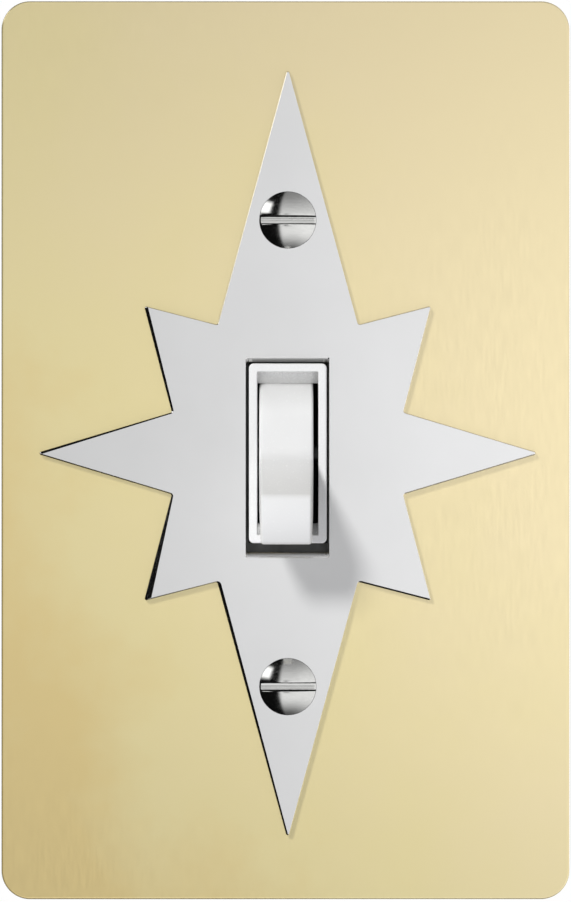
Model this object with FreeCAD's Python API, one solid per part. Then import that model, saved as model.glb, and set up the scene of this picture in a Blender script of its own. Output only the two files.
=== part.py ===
import FreeCAD, Part
import math
import os

# Brass dolly switch: a one-gang wall plate with a star overlay and a rocking-cradle toggle mechanism.
# Millimetres. X runs to the right, Z up, and Y into the wall.
# The plane Y = 0 is the wall, and the origin is on it, midway between the plate screws. The dolly is stored OFF.
# As the real one hangs, the plate sits a little up and to the left of the star and the mechanism.

# Wall plate, a hollow-backed brass casting
plate_width = 73.5
plate_depth = 5.6
plate_face = 2.0
plate_rim = 4.0
plate_corner = 3.7
plate_edge = 0.45
plate_shift_side = -0.3
plate_shift_up = 0.4

# Star overlay, cut from plated sheet and laid on the plate
star_thickness = 1.0
star_reach_up = 49.4
star_reach_side = 32.1
star_diagonal_x = 18.6
star_diagonal_z = 19.1
star_valley_up_x = 9.12
star_valley_up_z = 16.65
star_valley_side_x = 15.0
star_valley_side_z = 5.32
star_corner = 0.25
star_edge = 0.2

# Opening through the plate and the star for the bezel
opening_gap_side = 0.41
opening_gap_end = 1.05
opening_drop = 0.2
opening_shift = -0.05

# Screws that hold the plate to the strap, and screws that hold the strap to the wall box
thread_radius = 1.75
thread_clearance = 0.03
plate_screw_spacing = 60.3
plate_screw_length = 10.6
plate_screw_hole = 2.1
screw_head_radius = 3.65
screw_head_dome = 1.25
screw_head_seat = 0.04
countersink_half_angle = 41.0
screw_slot_width = 1.0
screw_slot_depth = 1.15
box_lug_offset = 11.5
box_screw_length = 25.2
box_screw_head_radius = 3.3
box_screw_head_height = 1.5
box_screw_neck = 1.3
box_screw_neck_length = 2.8
retainer_size = 8.0
retainer_thickness = 0.8
retainer_clearance = 0.05

# Mounting strap, pressed steel
strap_thickness = 1.2
strap_wall_gap = 0.1
strap_end_margin = 10.85
strap_end_gap = 1.6
strap_neck_width = 24.0
ear_width = 33.0
ear_length = 14.5
ear_corner = 3.0
ear_score_width = 0.9
ear_score_length = 7.0
ear_score_offset = 10.5
box_slot_width = 6.4
box_slot_height = 3.9
strap_window_gap = 0.1
ground_tab_depth = 9.0
ground_tab_height = 6.4
ground_tab_margin = 4.3
ground_tab_bend = 0.8

# Front moulding with its bezel
bezel_width = 10.04
bezel_height = 23.2
bezel_corner = 0.62
bezel_reach = 7.4
bezel_edge = 0.25
slot_width = 7.9
slot_height = 21.1
slot_lip_depth = 4.5
flange_thickness = 2.5

# Housing behind the strap
body_width = 31.0
body_screw_gap = 0.9
body_depth = 20.7
body_corner = 2.0
body_floor = 1.7
cavity_height = 27.3
step_height = 1.9
step_inset = 7.15

# Dolly
dolly_swing = 22.4
dolly_width = 7.0
dolly_tip_width = 6.5
dolly_side_play = 0.2
dolly_reach = 23.1
dolly_root_thickness = 7.3
dolly_tip_thickness = 6.9
dolly_crown = 10.0
dolly_edge = 0.4
dolly_fillet = 2.0
drum_radius = 10.4
drum_back = 2.0
drum_clearance = 0.3
trunnion_radius = 1.5
trunnion_length = 2.8
trunnion_clearance = 0.05
leg_length = 11.0
leg_width = 6.0
leg_thickness = 5.5
leg_bore_start = 3.0

# Plunger and its spring
plunger_radius = 1.6
plunger_clearance = 0.05
plunger_start = 6.5
plunger_tip = 14.0
plunger_bore = 1.15
plunger_nose = 2.0
plunger_nose_bands = 3
plunger_nose_end = 78.0
spring_wire = 0.26
spring_gap = 0.1
spring_turns = 6
spring_steps = 10
spring_sides = 6

# Rocking contact strip
rocker_pivot = 16.0
rocker_swing = 9.0
rocker_thickness = 0.8
rocker_width = 4.6
rocker_arm = 11.0
rocker_dish_half = 5.2
tip_clearance = 0.06
lug_thickness = 0.8
lug_radius = 1.4
pin_radius = 0.6
pin_running_clearance = 0.05
pin_seat_clearance = 0.02
pin_overhang = 0.3

# Contacts
contact_offset = 9.4
contact_radius = 1.3
contact_height = 0.8
contact_bevel = 0.2
contact_rivet = 0.7
contact_seat = 0.02
contact_gap = 0.06

# Terminals, folded from brass strip
strip_thickness = 0.8
strip_width = 4.8
strip_clearance = 0.05
bracket_ear_gap = 0.1
bracket_ear_radius = 1.5
terminal_plate = 1.0
terminal_recess = 3.2
terminal_length = 14.5
terminal_height = 7.4
terminal_recess_margin = 0.6

# Terminal screws, ground screw, rivets
terminal_screw_radius = 1.9
terminal_screw_head_radius = 3.3
terminal_screw_head_height = 1.8
terminal_screw_length = 6.4
terminal_screw_depth = 9.2
screw_pocket_margin = 0.4
ground_screw_head_radius = 3.4
ground_screw_head_height = 2.2
ground_screw_length = 5.5
rivet_radius = 1.2
rivet_clearance = 0.03
rivet_head_radius = 2.1
rivet_head_height = 0.8
rivet_inset = 5.5
head_taper = 0.5
head_sides = 20
dome_bands = 3

# Places that follow from the sizes above
box_screw_spacing = plate_screw_spacing + 2 * box_lug_offset
strap_length = box_screw_spacing + 2 * strap_end_margin
plate_height = strap_length + 2 * (strap_end_gap + plate_rim)
body_height = plate_screw_spacing - 2 * (thread_radius + body_screw_gap)
ground_tab_drop = body_height / 2 + ground_tab_margin + ground_tab_height / 2
plate_front = -plate_depth
star_front = plate_front - star_thickness
strap_back = -strap_wall_gap
strap_front = strap_back - strap_thickness
pivot_y = flange_thickness
lip_y = -bezel_reach + slot_lip_depth
body_back = pivot_y + body_depth
floor_y = body_back - body_floor
rocker_y = pivot_y + rocker_pivot
screw_rows = (plate_screw_spacing / 2, -plate_screw_spacing / 2)
box_rows = (box_screw_spacing / 2, -box_screw_spacing / 2)
rivet_rows = (body_height / 2 - rivet_inset, rivet_inset - body_height / 2)
plunger_centre = plunger_tip - plunger_radius
terminal_x = body_width / 2 - terminal_recess
bezel_opening = (bezel_width + 2 * opening_gap_side, bezel_height + 2 * opening_gap_end)

V = FreeCAD.Vector
RIGHT = V(1, 0, 0)
INWARD = V(0, 1, 0)
OUTWARD = V(0, -1, 0)
UP = V(0, 0, 1)
PIVOT = V(0, pivot_y, 0)
ROCKER_PIVOT = V(0, rocker_y, 0)
TINY = 1e-4


def edges_where(shape, test):
    """Edges whose two ends and middle all pass the test."""
    return [edge for edge in shape.Edges if all(test(point) for point in edge.discretize(3))]


def edges_along(shape, direction):
    """Straight edges that run along a direction."""
    chosen = []
    for edge in shape.Edges:
        if edge.Curve.TypeId == "Part::GeomLine":
            if abs(abs(edge.tangentAt(edge.FirstParameter).dot(direction)) - 1) < TINY:
                chosen.append(edge)
    return chosen


def slab(width, height, front, back, corner=0.0, x=0.0, z=0.0):
    """Block seen from the front as a rectangle, with its four corners rounded."""
    block = Part.makeBox(width, back - front, height, V(x - width / 2, front, z - height / 2))
    if corner:
        block = block.makeFillet(corner, edges_along(block, INWARD))
    return block


def block_between(low, high):
    """Box from its lowest corner to its highest."""
    return Part.makeBox(high[0] - low[0], high[1] - low[1], high[2] - low[2], V(*low))


def rod(radius, start, length, direction):
    """Round bar from a point along a direction."""
    return Part.makeCylinder(radius, length, start, direction)


def prism(points, x0, x1):
    """Side profile given as (y, z) points, from X = x0 to X = x1."""
    outline = Part.makePolygon([V(x0, y, z) for y, z in points + points[:1]])
    return Part.Face(outline).extrude(V(x1 - x0, 0, 0))


def faceted(points, base, direction):
    """Turned form from (radius, height) points, with flat sides in place of its curve."""
    rings = []
    for radius, height in points:
        angles = [2 * math.pi * side / head_sides for side in range(head_sides)]
        rings.append([V(radius * math.cos(angle), radius * math.sin(angle), height) for angle in angles])
    flats = [rings[0], rings[-1]]
    for near, far in zip(rings, rings[1:]):
        for side in range(head_sides):
            following = (side + 1) % head_sides
            flats.append([near[side], near[following], far[following], far[side]])
    solid = closed_solid(flats)
    solid.Placement = FreeCAD.Placement(base, FreeCAD.Rotation(UP, direction))
    return solid


def closed_solid(flats):
    """Solid enclosed by flat polygons."""
    shell = Part.makeShell([Part.Face(Part.makePolygon(flat + flat[:1])) for flat in flats])
    solid = Part.makeSolid(shell)
    if solid.Volume < 0:
        solid.reverse()
    return solid


def pan_head(radius, height, base, direction):
    """Low head with a straight rim whose top edge tapers in."""
    return faceted([(radius, 0.0), (radius, height / 2), (radius - head_taper, height)], base, direction)


def dome_points(radius, height):
    """Points of a spherical cap from its rim to a small flat on top."""
    sphere = (radius ** 2 + height ** 2) / (2 * height)
    points = []
    for band in range(dome_bands + 1):
        distance = radius * (1 - band / (dome_bands + 1))
        points.append((distance, math.sqrt(sphere ** 2 - distance ** 2) - sphere + height))
    return points


def tilted(shape, degrees, centre):
    """The shape turned about the X direction through a point."""
    turned_shape = shape.copy()
    turned_shape.rotate(centre, RIGHT, degrees)
    return turned_shape


def shifted(shape):
    """The shape moved to the side that the dolly stands to in its slot."""
    moved = shape.copy()
    moved.translate(-RIGHT * dolly_side_play)
    return moved


def along_tilt(distance):
    """Point behind the pivot on the dolly's axis before the dolly is tilted."""
    return PIVOT + INWARD * distance


# Wall plate and star

def countersink(extra):
    """Cones below the screw heads, from the star's front to the width of the shank."""
    depth = (screw_head_radius - thread_radius) / math.tan(math.radians(countersink_half_angle))
    cones = []
    for z in screw_rows:
        start = V(0, star_front, z)
        cones.append(faceted([(screw_head_radius + extra, 0.0), (thread_radius + extra, depth)], start, INWARD))
    return cones


def plate_holes(solid, front, back):
    """Cuts the bezel opening and the two countersunk screw holes."""
    width, height = bezel_opening
    solid = solid.cut(slab(width, height, front - 1, back + 1, 0.0, opening_shift, -opening_drop))
    for z in screw_rows:
        solid = solid.cut(rod(plate_screw_hole, V(0, front - 1, z), back - front + 2, INWARD))
    for cone in countersink(screw_head_seat):
        solid = solid.cut(cone)
    return solid


def make_brass_plate():
    """Rounded plate, hollow behind, that stands on a rim."""
    place = (plate_shift_side, plate_shift_up)
    solid = slab(plate_width, plate_height, plate_front, 0.0, plate_corner, *place)
    solid = solid.makeChamfer(plate_edge, edges_where(solid, lambda p: abs(p.y - plate_front) < TINY))
    hollow_width = plate_width - 2 * plate_rim
    hollow_height = plate_height - 2 * plate_rim
    solid = solid.cut(slab(hollow_width, hollow_height, plate_front + plate_face, 1.0, plate_corner / 2, *place))
    return plate_holes(solid, plate_front, plate_front + plate_face)


def sharp_reach(reach, half_width, valley):
    """Where a ray's two sides would meet, so that its rounded tip ends at the reach."""
    half_angle = math.atan2(half_width, reach - valley)
    return reach + star_corner / math.sin(half_angle) - star_corner


def make_star_overlay():
    """Eight rays: long ones up and down, shorter ones to the sides, and short diagonal ones."""
    top = sharp_reach(star_reach_up, star_valley_up_x, star_valley_up_z)
    side = sharp_reach(star_reach_side, star_valley_side_z, star_valley_side_x)
    quarter = [(0, top), (star_valley_up_x, star_valley_up_z), (star_diagonal_x, star_diagonal_z)]
    quarter += [(star_valley_side_x, star_valley_side_z), (side, 0)]
    right = quarter + [(x, -z) for x, z in reversed(quarter[:-1])]
    outline = right + [(-x, z) for x, z in reversed(right[1:-1])]
    points = [V(x, star_front, z) for x, z in outline + outline[:1]]
    solid = Part.Face(Part.makePolygon(points)).extrude(V(0, star_thickness, 0))
    solid = solid.makeFillet(star_corner, edges_along(solid, INWARD))
    solid = solid.makeChamfer(star_edge, edges_where(solid, lambda p: abs(p.y - star_front) < TINY))
    return plate_holes(solid, star_front, plate_front)


def driver_slot(solid, top, direction, radius, width, depth):
    """Cuts a straight slot across a screw head that faces along a direction."""
    side = UP.cross(direction)
    if direction.y:
        side = RIGHT
    across = direction.cross(side)
    corner = top - side * (radius + 1) - across * (width / 2) - direction * depth
    outline = [corner, corner + side * (2 * radius + 2)]
    outline += [outline[1] + across * width, corner + across * width, corner]
    return solid.cut(Part.Face(Part.makePolygon(outline)).extrude(direction * (depth + 1)))


def make_plate_screws():
    """Two oval-head slotted screws, whose cones sit in the star's countersinks."""
    screws = []
    for z, cone in zip(screw_rows, countersink(0.0)):
        dome = dome_points(screw_head_radius, screw_head_dome)
        head = faceted(dome, V(0, star_front, z), OUTWARD)
        shank = rod(thread_radius, V(0, star_front + 0.5, z), plate_screw_length - 0.5, INWARD)
        screw = head.fuse(cone).fuse(shank)
        top = V(0, star_front - screw_head_dome, z)
        screws.append(driver_slot(screw, top, OUTWARD, screw_head_radius, screw_slot_width, screw_slot_depth))
    return Part.makeCompound(screws)


# Strap and what fastens it

def make_mounting_strap():
    """Flat strap with plaster ears, a window for the bezel and a ground tab bent back."""
    solid = slab(strap_neck_width, strap_length - ear_length, strap_front, strap_back)
    ear_centre = (strap_length - ear_length) / 2
    for z in (ear_centre, -ear_centre):
        solid = solid.fuse(slab(ear_width, ear_length, strap_front, strap_back, ear_corner, 0.0, z))
    window = bezel_width + 2 * strap_window_gap, bezel_height + 2 * strap_window_gap
    solid = solid.cut(slab(window[0], window[1], strap_front - 1, 1.0))
    for z in screw_rows:
        solid = solid.cut(rod(thread_radius + thread_clearance, V(0, strap_front - 2, z), 8.0, INWARD))
    for z in box_rows:
        slot_corner = box_slot_height / 2 - TINY
        solid = solid.cut(slab(box_slot_width, box_slot_height, strap_front - 1, 1.0, slot_corner, 0.0, z))
    for z in (strap_length / 2, -strap_length / 2):
        for x in (ear_score_offset, -ear_score_offset):
            cut = slab(ear_score_width, 2 * ear_score_length, strap_front - 1, 1.0, 0.0, x, z)
            solid = solid.cut(cut)
    solid = rivet_holes(solid, strap_front, strap_back)
    left = -strap_neck_width / 2
    low = (left - strap_thickness, strap_front, -ground_tab_drop - ground_tab_height / 2)
    high = (left, ground_tab_depth, -ground_tab_drop + ground_tab_height / 2)
    tab = block_between(low, high)
    outer_bend = edges_where(tab, lambda p: abs(p.y - low[1]) < TINY and abs(p.x - low[0]) < TINY)
    tab = tab.makeFillet(ground_tab_bend, outer_bend)
    screw_y = ground_tab_depth / 2 + ground_screw_head_radius / 3
    hole = rod(terminal_screw_radius + thread_clearance, V(left + 1, screw_y, -ground_tab_drop), 5.0, -RIGHT)
    return solid.fuse(tab.cut(hole)).removeSplitter()


def make_ground_screw():
    """Green hexagon-head screw in the strap's ground tab."""
    face_x = -strap_neck_width / 2 - strap_thickness
    screw_y = ground_tab_depth / 2 + ground_screw_head_radius / 3
    base = V(face_x, screw_y, -ground_tab_drop)
    corners = []
    for step in range(7):
        angle = math.radians(60 * step)
        offset = V(0, math.cos(angle), math.sin(angle)) * ground_screw_head_radius
        corners.append(base + offset)
    head = Part.Face(Part.makePolygon(corners)).extrude(-RIGHT * ground_screw_head_height)
    screw = head.fuse(rod(terminal_screw_radius, base, ground_screw_length, RIGHT))
    top = base - RIGHT * ground_screw_head_height
    return driver_slot(screw, top, -RIGHT, ground_screw_head_radius, screw_slot_width, screw_slot_depth)


def make_box_screws():
    """Two long screws with a thin neck through the strap and a threaded length behind it."""
    screws = []
    for z in box_rows:
        seat = V(0, strap_front, z)
        head = pan_head(box_screw_head_radius, box_screw_head_height, seat, OUTWARD)
        neck = rod(box_screw_neck, seat, box_screw_neck_length, INWARD)
        thread_start = seat + INWARD * box_screw_neck_length
        thread = rod(thread_radius, thread_start, box_screw_length - box_screw_neck_length, INWARD)
        screw = head.fuse(neck).fuse(thread)
        top = seat + OUTWARD * box_screw_head_height
        slot_depth = box_screw_head_height * 0.6
        screws.append(driver_slot(screw, top, OUTWARD, box_screw_head_radius, screw_slot_width, slot_depth))
    return Part.makeCompound(screws)


def make_screw_retainers():
    """Two square fibre washers that keep the box screws in the strap."""
    washers = []
    for z in box_rows:
        washer = slab(retainer_size, retainer_size, strap_back, strap_back + retainer_thickness, 0.0, 0.0, z)
        hole = rod(box_screw_neck + retainer_clearance, V(0, -1, z), retainer_thickness + 2, INWARD)
        washers.append(washer.cut(hole))
    return Part.makeCompound(washers)


def make_body_rivets():
    """Two long rivets from the strap's face to the back of the housing."""
    rivets = []
    for z in rivet_rows:
        front = V(0, strap_front, z)
        back = V(0, body_back, z)
        shank = rod(rivet_radius, front, body_back - strap_front, INWARD)
        front_head = pan_head(rivet_head_radius, rivet_head_height, front, OUTWARD)
        back_head = pan_head(rivet_head_radius, rivet_head_height, back, INWARD)
        rivets.append(shank.fuse(front_head).fuse(back_head))
    return Part.makeCompound(rivets)


# Mouldings

def drum_space(back):
    """Room for the drum to turn, as wide as the bezel's slot."""
    start = PIVOT - RIGHT * (slot_width / 2)
    space = rod(drum_radius + drum_clearance, start, slot_width, RIGHT)
    return space.common(slab(slot_width + 2, 4 * drum_radius, lip_y, back))


def trunnion_grooves():
    """Round bearings for the trunnions, half in each moulding."""
    reach = slot_width / 2 + trunnion_length
    return rod(trunnion_radius + trunnion_clearance, PIVOT - RIGHT * reach, 2 * reach, RIGHT)


def rivet_holes(solid, front, back):
    """Cuts the two rivet holes."""
    for z in rivet_rows:
        hole = rod(rivet_radius + rivet_clearance, V(0, front - 1, z), back - front + 2, INWARD)
        solid = solid.cut(hole)
    return solid


def make_front_moulding():
    """Flange that closes the housing, with the bezel that stands out through the plate."""
    bezel = slab(bezel_width, bezel_height, -bezel_reach, flange_thickness, bezel_corner)
    bezel = bezel.makeChamfer(bezel_edge, edges_where(bezel, lambda p: abs(p.y + bezel_reach) < TINY))
    solid = bezel.fuse(slab(body_width, body_height, strap_back, flange_thickness, body_corner))
    drum_gap = drum_radius + drum_clearance
    lip_z = math.sqrt(drum_gap ** 2 - (pivot_y - lip_y) ** 2) - drum_clearance / 2
    mouth = [(-bezel_reach - 1, slot_height / 2), (-bezel_reach, slot_height / 2), (lip_y, lip_z)]
    mouth += [(lip_y, -lip_z), (-bezel_reach, -slot_height / 2), (-bezel_reach - 1, -slot_height / 2)]
    solid = solid.cut(prism(mouth, -slot_width / 2, slot_width / 2))
    solid = solid.cut(drum_space(flange_thickness + 1))
    solid = solid.cut(trunnion_grooves())
    return rivet_holes(solid, strap_back, flange_thickness)


def blade_z():
    """Height of the outer face of each terminal blade above or below the middle."""
    return cavity_height / 2 - strip_clearance


def terminal_middle():
    """Height of the terminal screws above or below the middle."""
    return blade_z() + terminal_height / 2


def make_back_body():
    """Deep housing with a stepped cavity, blade slots, side recesses and screw pockets."""
    solid = slab(body_width, body_height, pivot_y, body_back, body_corner)
    back_edges = edges_where(solid, lambda p: abs(p.y - body_back) < TINY)
    solid = solid.makeChamfer(body_corner / 2, back_edges)
    solid = solid.cut(slab(slot_width, cavity_height, pivot_y - 1, floor_y))
    step_low = (-slot_width / 2, floor_y - step_height, -cavity_height / 2)
    step_high = (slot_width / 2, floor_y, -cavity_height / 2 + step_inset)
    solid = solid.fuse(block_between(step_low, step_high)).removeSplitter()
    solid = solid.cut(trunnion_grooves())
    recess_back = pivot_y + terminal_length + terminal_recess_margin
    for side in (1, -1):
        outer = side * (blade_z() + strip_clearance)
        inner = side * (blade_z() - strip_thickness - strip_clearance)
        back = floor_y if side > 0 else floor_y - step_height
        slot = block_between((0, pivot_y - 1, min(inner, outer)), (terminal_x + 1, back, max(inner, outer)))
        solid = solid.cut(slot)
        near = side * (blade_z() - strip_thickness - terminal_recess_margin)
        far = side * (blade_z() + terminal_height + terminal_recess_margin)
        low = (terminal_x, pivot_y - 1, min(near, far))
        high = (body_width, recess_back, max(near, far))
        solid = solid.cut(block_between(low, high))
        pocket_radius = terminal_screw_radius + screw_pocket_margin
        pocket_start = V(terminal_x + 1, terminal_screw_depth, side * terminal_middle())
        solid = solid.cut(rod(pocket_radius, pocket_start, terminal_screw_length - terminal_plate + 2, -RIGHT))
    return rivet_holes(solid, pivot_y, body_back)


# Dolly, plunger and spring

def dolly_side_profile():
    """Lever seen from the side, with a crowned end, before its root fillets."""
    root = 0.6 * drum_radius
    half_tip = dolly_tip_thickness / 2
    shoulder = dolly_reach - (dolly_crown - math.sqrt(dolly_crown ** 2 - half_tip ** 2))
    corners = [V(0, pivot_y - root, -dolly_root_thickness / 2), V(0, pivot_y - shoulder, -half_tip)]
    corners += [V(0, pivot_y - dolly_reach, 0), V(0, pivot_y - shoulder, half_tip)]
    corners += [V(0, pivot_y - root, dolly_root_thickness / 2)]
    edges = [Part.makeLine(corners[0], corners[1])]
    edges.append(Part.Arc(corners[1], corners[2], corners[3]).toShape())
    edges.append(Part.makeLine(corners[3], corners[4]))
    edges.append(Part.makeLine(corners[4], corners[0]))
    return Part.Face(Part.Wire(edges))


def make_dolly():
    """One moulding: lever, drum, trunnions and the leg behind that holds the plunger."""
    half = dolly_width / 2
    lever = dolly_side_profile().extrude(V(dolly_width, 0, 0))
    lever.translate(V(-half, 0, 0))
    end_edges = [edge for edge in edges_along(lever, RIGHT) if edge.BoundBox.YMax < pivot_y - drum_radius]
    lever = lever.makeFillet(dolly_edge, end_edges)
    drum = rod(drum_radius, PIVOT - RIGHT * half, dolly_width, RIGHT)
    solid = drum.fuse(lever).removeSplitter()
    root_edges = []
    for edge in edges_along(solid, RIGHT):
        middle = edge.CenterOfMass - PIVOT
        on_drum = abs(math.hypot(middle.y, middle.z) - drum_radius) < 0.01
        if on_drum and middle.y < 0:
            root_edges.append(edge)
    solid = solid.makeFillet(dolly_fillet, root_edges)
    tip_y = pivot_y - dolly_reach
    drum_y = pivot_y - drum_radius
    far = pivot_y + drum_radius
    plan = [(-dolly_tip_width / 2, tip_y), (-half, drum_y), (-half, far)]
    plan += [(half, far), (half, drum_y), (dolly_tip_width / 2, tip_y)]
    outline = Part.makePolygon([V(x, y, -2 * drum_radius) for x, y in plan + plan[:1]])
    solid = solid.common(Part.Face(outline).extrude(V(0, 0, 4 * drum_radius)))
    behind = slab(dolly_width + 2, 4 * drum_radius, pivot_y + drum_back, far + 1)
    solid = solid.cut(behind)
    leg = slab(leg_width, leg_thickness, pivot_y, pivot_y + leg_length)
    leg = leg.makeChamfer(0.4, edges_along(leg, INWARD))
    solid = solid.fuse(leg)
    reach = half + trunnion_length
    solid = solid.fuse(rod(trunnion_radius, PIVOT - RIGHT * reach, 2 * reach, RIGHT))
    bore = rod(plunger_radius + plunger_clearance, along_tilt(leg_bore_start), leg_length, INWARD)
    return tilted(shifted(solid.cut(bore)), dolly_swing, PIVOT)


def plunger_bore_end():
    """Where the spring seats inside the plunger."""
    return plunger_tip - plunger_nose


def make_plunger():
    """Brass cup with a round nose, open towards the dolly."""
    profile = [(plunger_radius, plunger_start)]
    for band in range(plunger_nose_bands + 1):
        lean = math.radians(plunger_nose_end * band / plunger_nose_bands)
        profile.append((plunger_radius * math.cos(lean), plunger_centre + plunger_radius * math.sin(lean)))
    cup = faceted(profile, PIVOT, INWARD)
    bore = faceted([(plunger_bore, plunger_start - 1), (plunger_bore, plunger_bore_end())], PIVOT, INWARD)
    return tilted(shifted(cup.cut(bore)), dolly_swing, PIVOT)


def make_plunger_spring():
    """Coil from the bottom of the leg's bore to the bottom of the plunger.

    The wire is a six-sided bar that climbs evenly, and each side is cut into short flats.
    """
    coil_radius = plunger_bore - spring_gap - spring_wire / 2
    start = leg_bore_start + spring_wire / 2 + spring_gap / 5
    climb = plunger_bore_end() - spring_wire / 2 - spring_gap / 5 - start
    rings = []
    for step in range(spring_turns * spring_steps + 1):
        turn = 2 * math.pi * step / spring_steps
        ring = []
        for side in range(spring_sides):
            angle = 2 * math.pi * side / spring_sides
            radius = coil_radius + spring_wire / 2 * math.cos(angle)
            height = start + climb * step / (spring_turns * spring_steps) + spring_wire / 2 * math.sin(angle)
            ring.append(V(radius * math.cos(turn), pivot_y + height, radius * math.sin(turn)))
        rings.append(ring)
    flats = [rings[0], rings[-1]]
    for near, far in zip(rings, rings[1:]):
        for side in range(spring_sides):
            following = (side + 1) % spring_sides
            flats += [[near[side], near[following], far[following]], [near[side], far[following], far[side]]]
    return tilted(shifted(closed_solid(flats)), dolly_swing, PIVOT)


# Rocking contact and its bearings. Its own frame has the pin at zero and its arms up and down.

def rocker_local(y, z):
    """A point in the rocker's own frame, before it is tilted."""
    return V(0, rocker_y + y, z)


def dish_bottom():
    """Front of the dish at its middle, clear of the plunger's nose."""
    return pivot_y + plunger_tip + tip_clearance - rocker_y


def dish_radius():
    """Radius of the dish whose ends clear the nose as much as its middle does."""
    lean = math.radians(dolly_swing)
    turn = math.radians(rocker_swing)
    nose_y = plunger_centre * math.cos(lean) - rocker_pivot
    nose_z = plunger_centre * math.sin(lean)
    y = nose_y * math.cos(turn) - nose_z * math.sin(turn)
    z = nose_y * math.sin(turn) + nose_z * math.cos(turn)
    drop = dish_bottom() - y
    reach = plunger_radius + tip_clearance
    return (drop ** 2 + z ** 2 - reach ** 2) / (2 * (drop - reach)) + tip_clearance


def arm_front():
    """Front face of the two straight arms."""
    radius = dish_radius()
    return dish_bottom() - radius + math.sqrt(radius ** 2 - rocker_dish_half ** 2)


def make_rocker_contact():
    """Copper strip with a dished middle, two straight arms and two lugs for the pin."""
    radius = dish_radius()
    centre = dish_bottom() - radius
    front = arm_front()
    back = front + rocker_thickness
    back_half = math.sqrt((radius + rocker_thickness) ** 2 - (back - centre) ** 2)
    points = [rocker_local(front, -rocker_arm), rocker_local(front, -rocker_dish_half)]
    points += [rocker_local(dish_bottom(), 0), rocker_local(front, rocker_dish_half)]
    points += [rocker_local(front, rocker_arm), rocker_local(back, rocker_arm)]
    points += [rocker_local(back, back_half), rocker_local(dish_bottom() + rocker_thickness, 0)]
    points += [rocker_local(back, -back_half), rocker_local(back, -rocker_arm)]
    edges = [Part.makeLine(points[0], points[1])]
    edges.append(Part.Arc(points[1], points[2], points[3]).toShape())
    edges.append(Part.makeLine(points[3], points[4]))
    edges.append(Part.makeLine(points[4], points[5]))
    edges.append(Part.makeLine(points[5], points[6]))
    edges.append(Part.Arc(points[6], points[7], points[8]).toShape())
    edges.append(Part.makeLine(points[8], points[9]))
    edges.append(Part.makeLine(points[9], points[0]))
    strip = Part.Face(Part.Wire(edges)).extrude(V(rocker_width, 0, 0))
    strip.translate(V(-rocker_width / 2, 0, 0))
    solid = strip
    for x in (-rocker_width / 2, rocker_width / 2 - lug_thickness):
        disc = rod(lug_radius, V(x, rocker_y, 0), lug_thickness, RIGHT)
        root_y = rocker_y + dish_bottom() + rocker_thickness / 2
        root = block_between((x, root_y, -lug_radius), (x + lug_thickness, rocker_y, lug_radius))
        solid = solid.fuse(disc.fuse(root))
    hole_start = ROCKER_PIVOT - RIGHT * rocker_width
    solid = solid.cut(rod(pin_radius + pin_running_clearance, hole_start, 2 * rocker_width, RIGHT))
    rivet_hole = rocker_local(front - 1, -contact_offset)
    solid = solid.cut(rod(contact_rivet + contact_seat, rivet_hole, rocker_thickness + 2, INWARD))
    return tilted(solid.removeSplitter(), -rocker_swing, ROCKER_PIVOT)


def contact_points(height):
    """Points of a contact's button from its seat, with its top edge bevelled."""
    return [(contact_radius, 0.0), (contact_radius, height - contact_bevel), (contact_radius - contact_bevel, height)]


def make_moving_contact():
    """Silver contact riveted through the lower arm."""
    front = arm_front()
    seat = rocker_local(front + rocker_thickness, -contact_offset)
    profile = [(contact_rivet, -rocker_thickness), (contact_rivet, 0.0)] + contact_points(contact_height)
    return tilted(faceted(profile, seat, INWARD), -rocker_swing, ROCKER_PIVOT)


def make_rocker_pin():
    """Plain pin across the bracket's ears."""
    reach = rocker_width / 2 + bracket_ear_gap + strip_thickness + pin_overhang
    return rod(pin_radius, ROCKER_PIVOT - RIGHT * reach, 2 * reach, RIGHT)


# Terminals

def contact_top(sign, offset, height):
    """Where a point on the back of an arm is when that arm is swung fully back."""
    turn = math.radians(rocker_swing)
    y = arm_front() + rocker_thickness + height
    return V(0, rocker_y + y * math.cos(turn) + offset * math.sin(turn),
             sign * (offset * math.cos(turn) - y * math.sin(turn)))


def side_terminal(side, floor):
    """Blade through the housing's slot, and the plate under the terminal screw."""
    outer = side * blade_z()
    inner = side * (blade_z() - strip_thickness)
    blade_front = pivot_y + terminal_length / 2
    blade_low = (-strip_width / 2, blade_front, min(inner, outer))
    blade_high = (terminal_x + terminal_plate, floor, max(inner, outer))
    far = side * (blade_z() + terminal_height)
    plate_low = (terminal_x, pivot_y + strip_clearance, min(inner, far))
    plate_high = (terminal_x + terminal_plate, pivot_y + terminal_length, max(inner, far))
    solid = block_between(blade_low, blade_high).fuse(block_between(plate_low, plate_high))
    lift = blade_high[1] - plate_high[1]
    trim_low = (terminal_x, plate_high[1], min(inner, outer) - 1)
    trim_high = (terminal_x + terminal_plate + 1, plate_high[1] + lift + 1, max(inner, outer) + 1)
    solid = solid.cut(block_between(trim_low, trim_high))
    middle = V(terminal_x - 1, terminal_screw_depth, side * terminal_middle())
    hole = rod(terminal_screw_radius + thread_clearance, middle, terminal_plate + 2, RIGHT)
    return solid.cut(hole)


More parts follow.
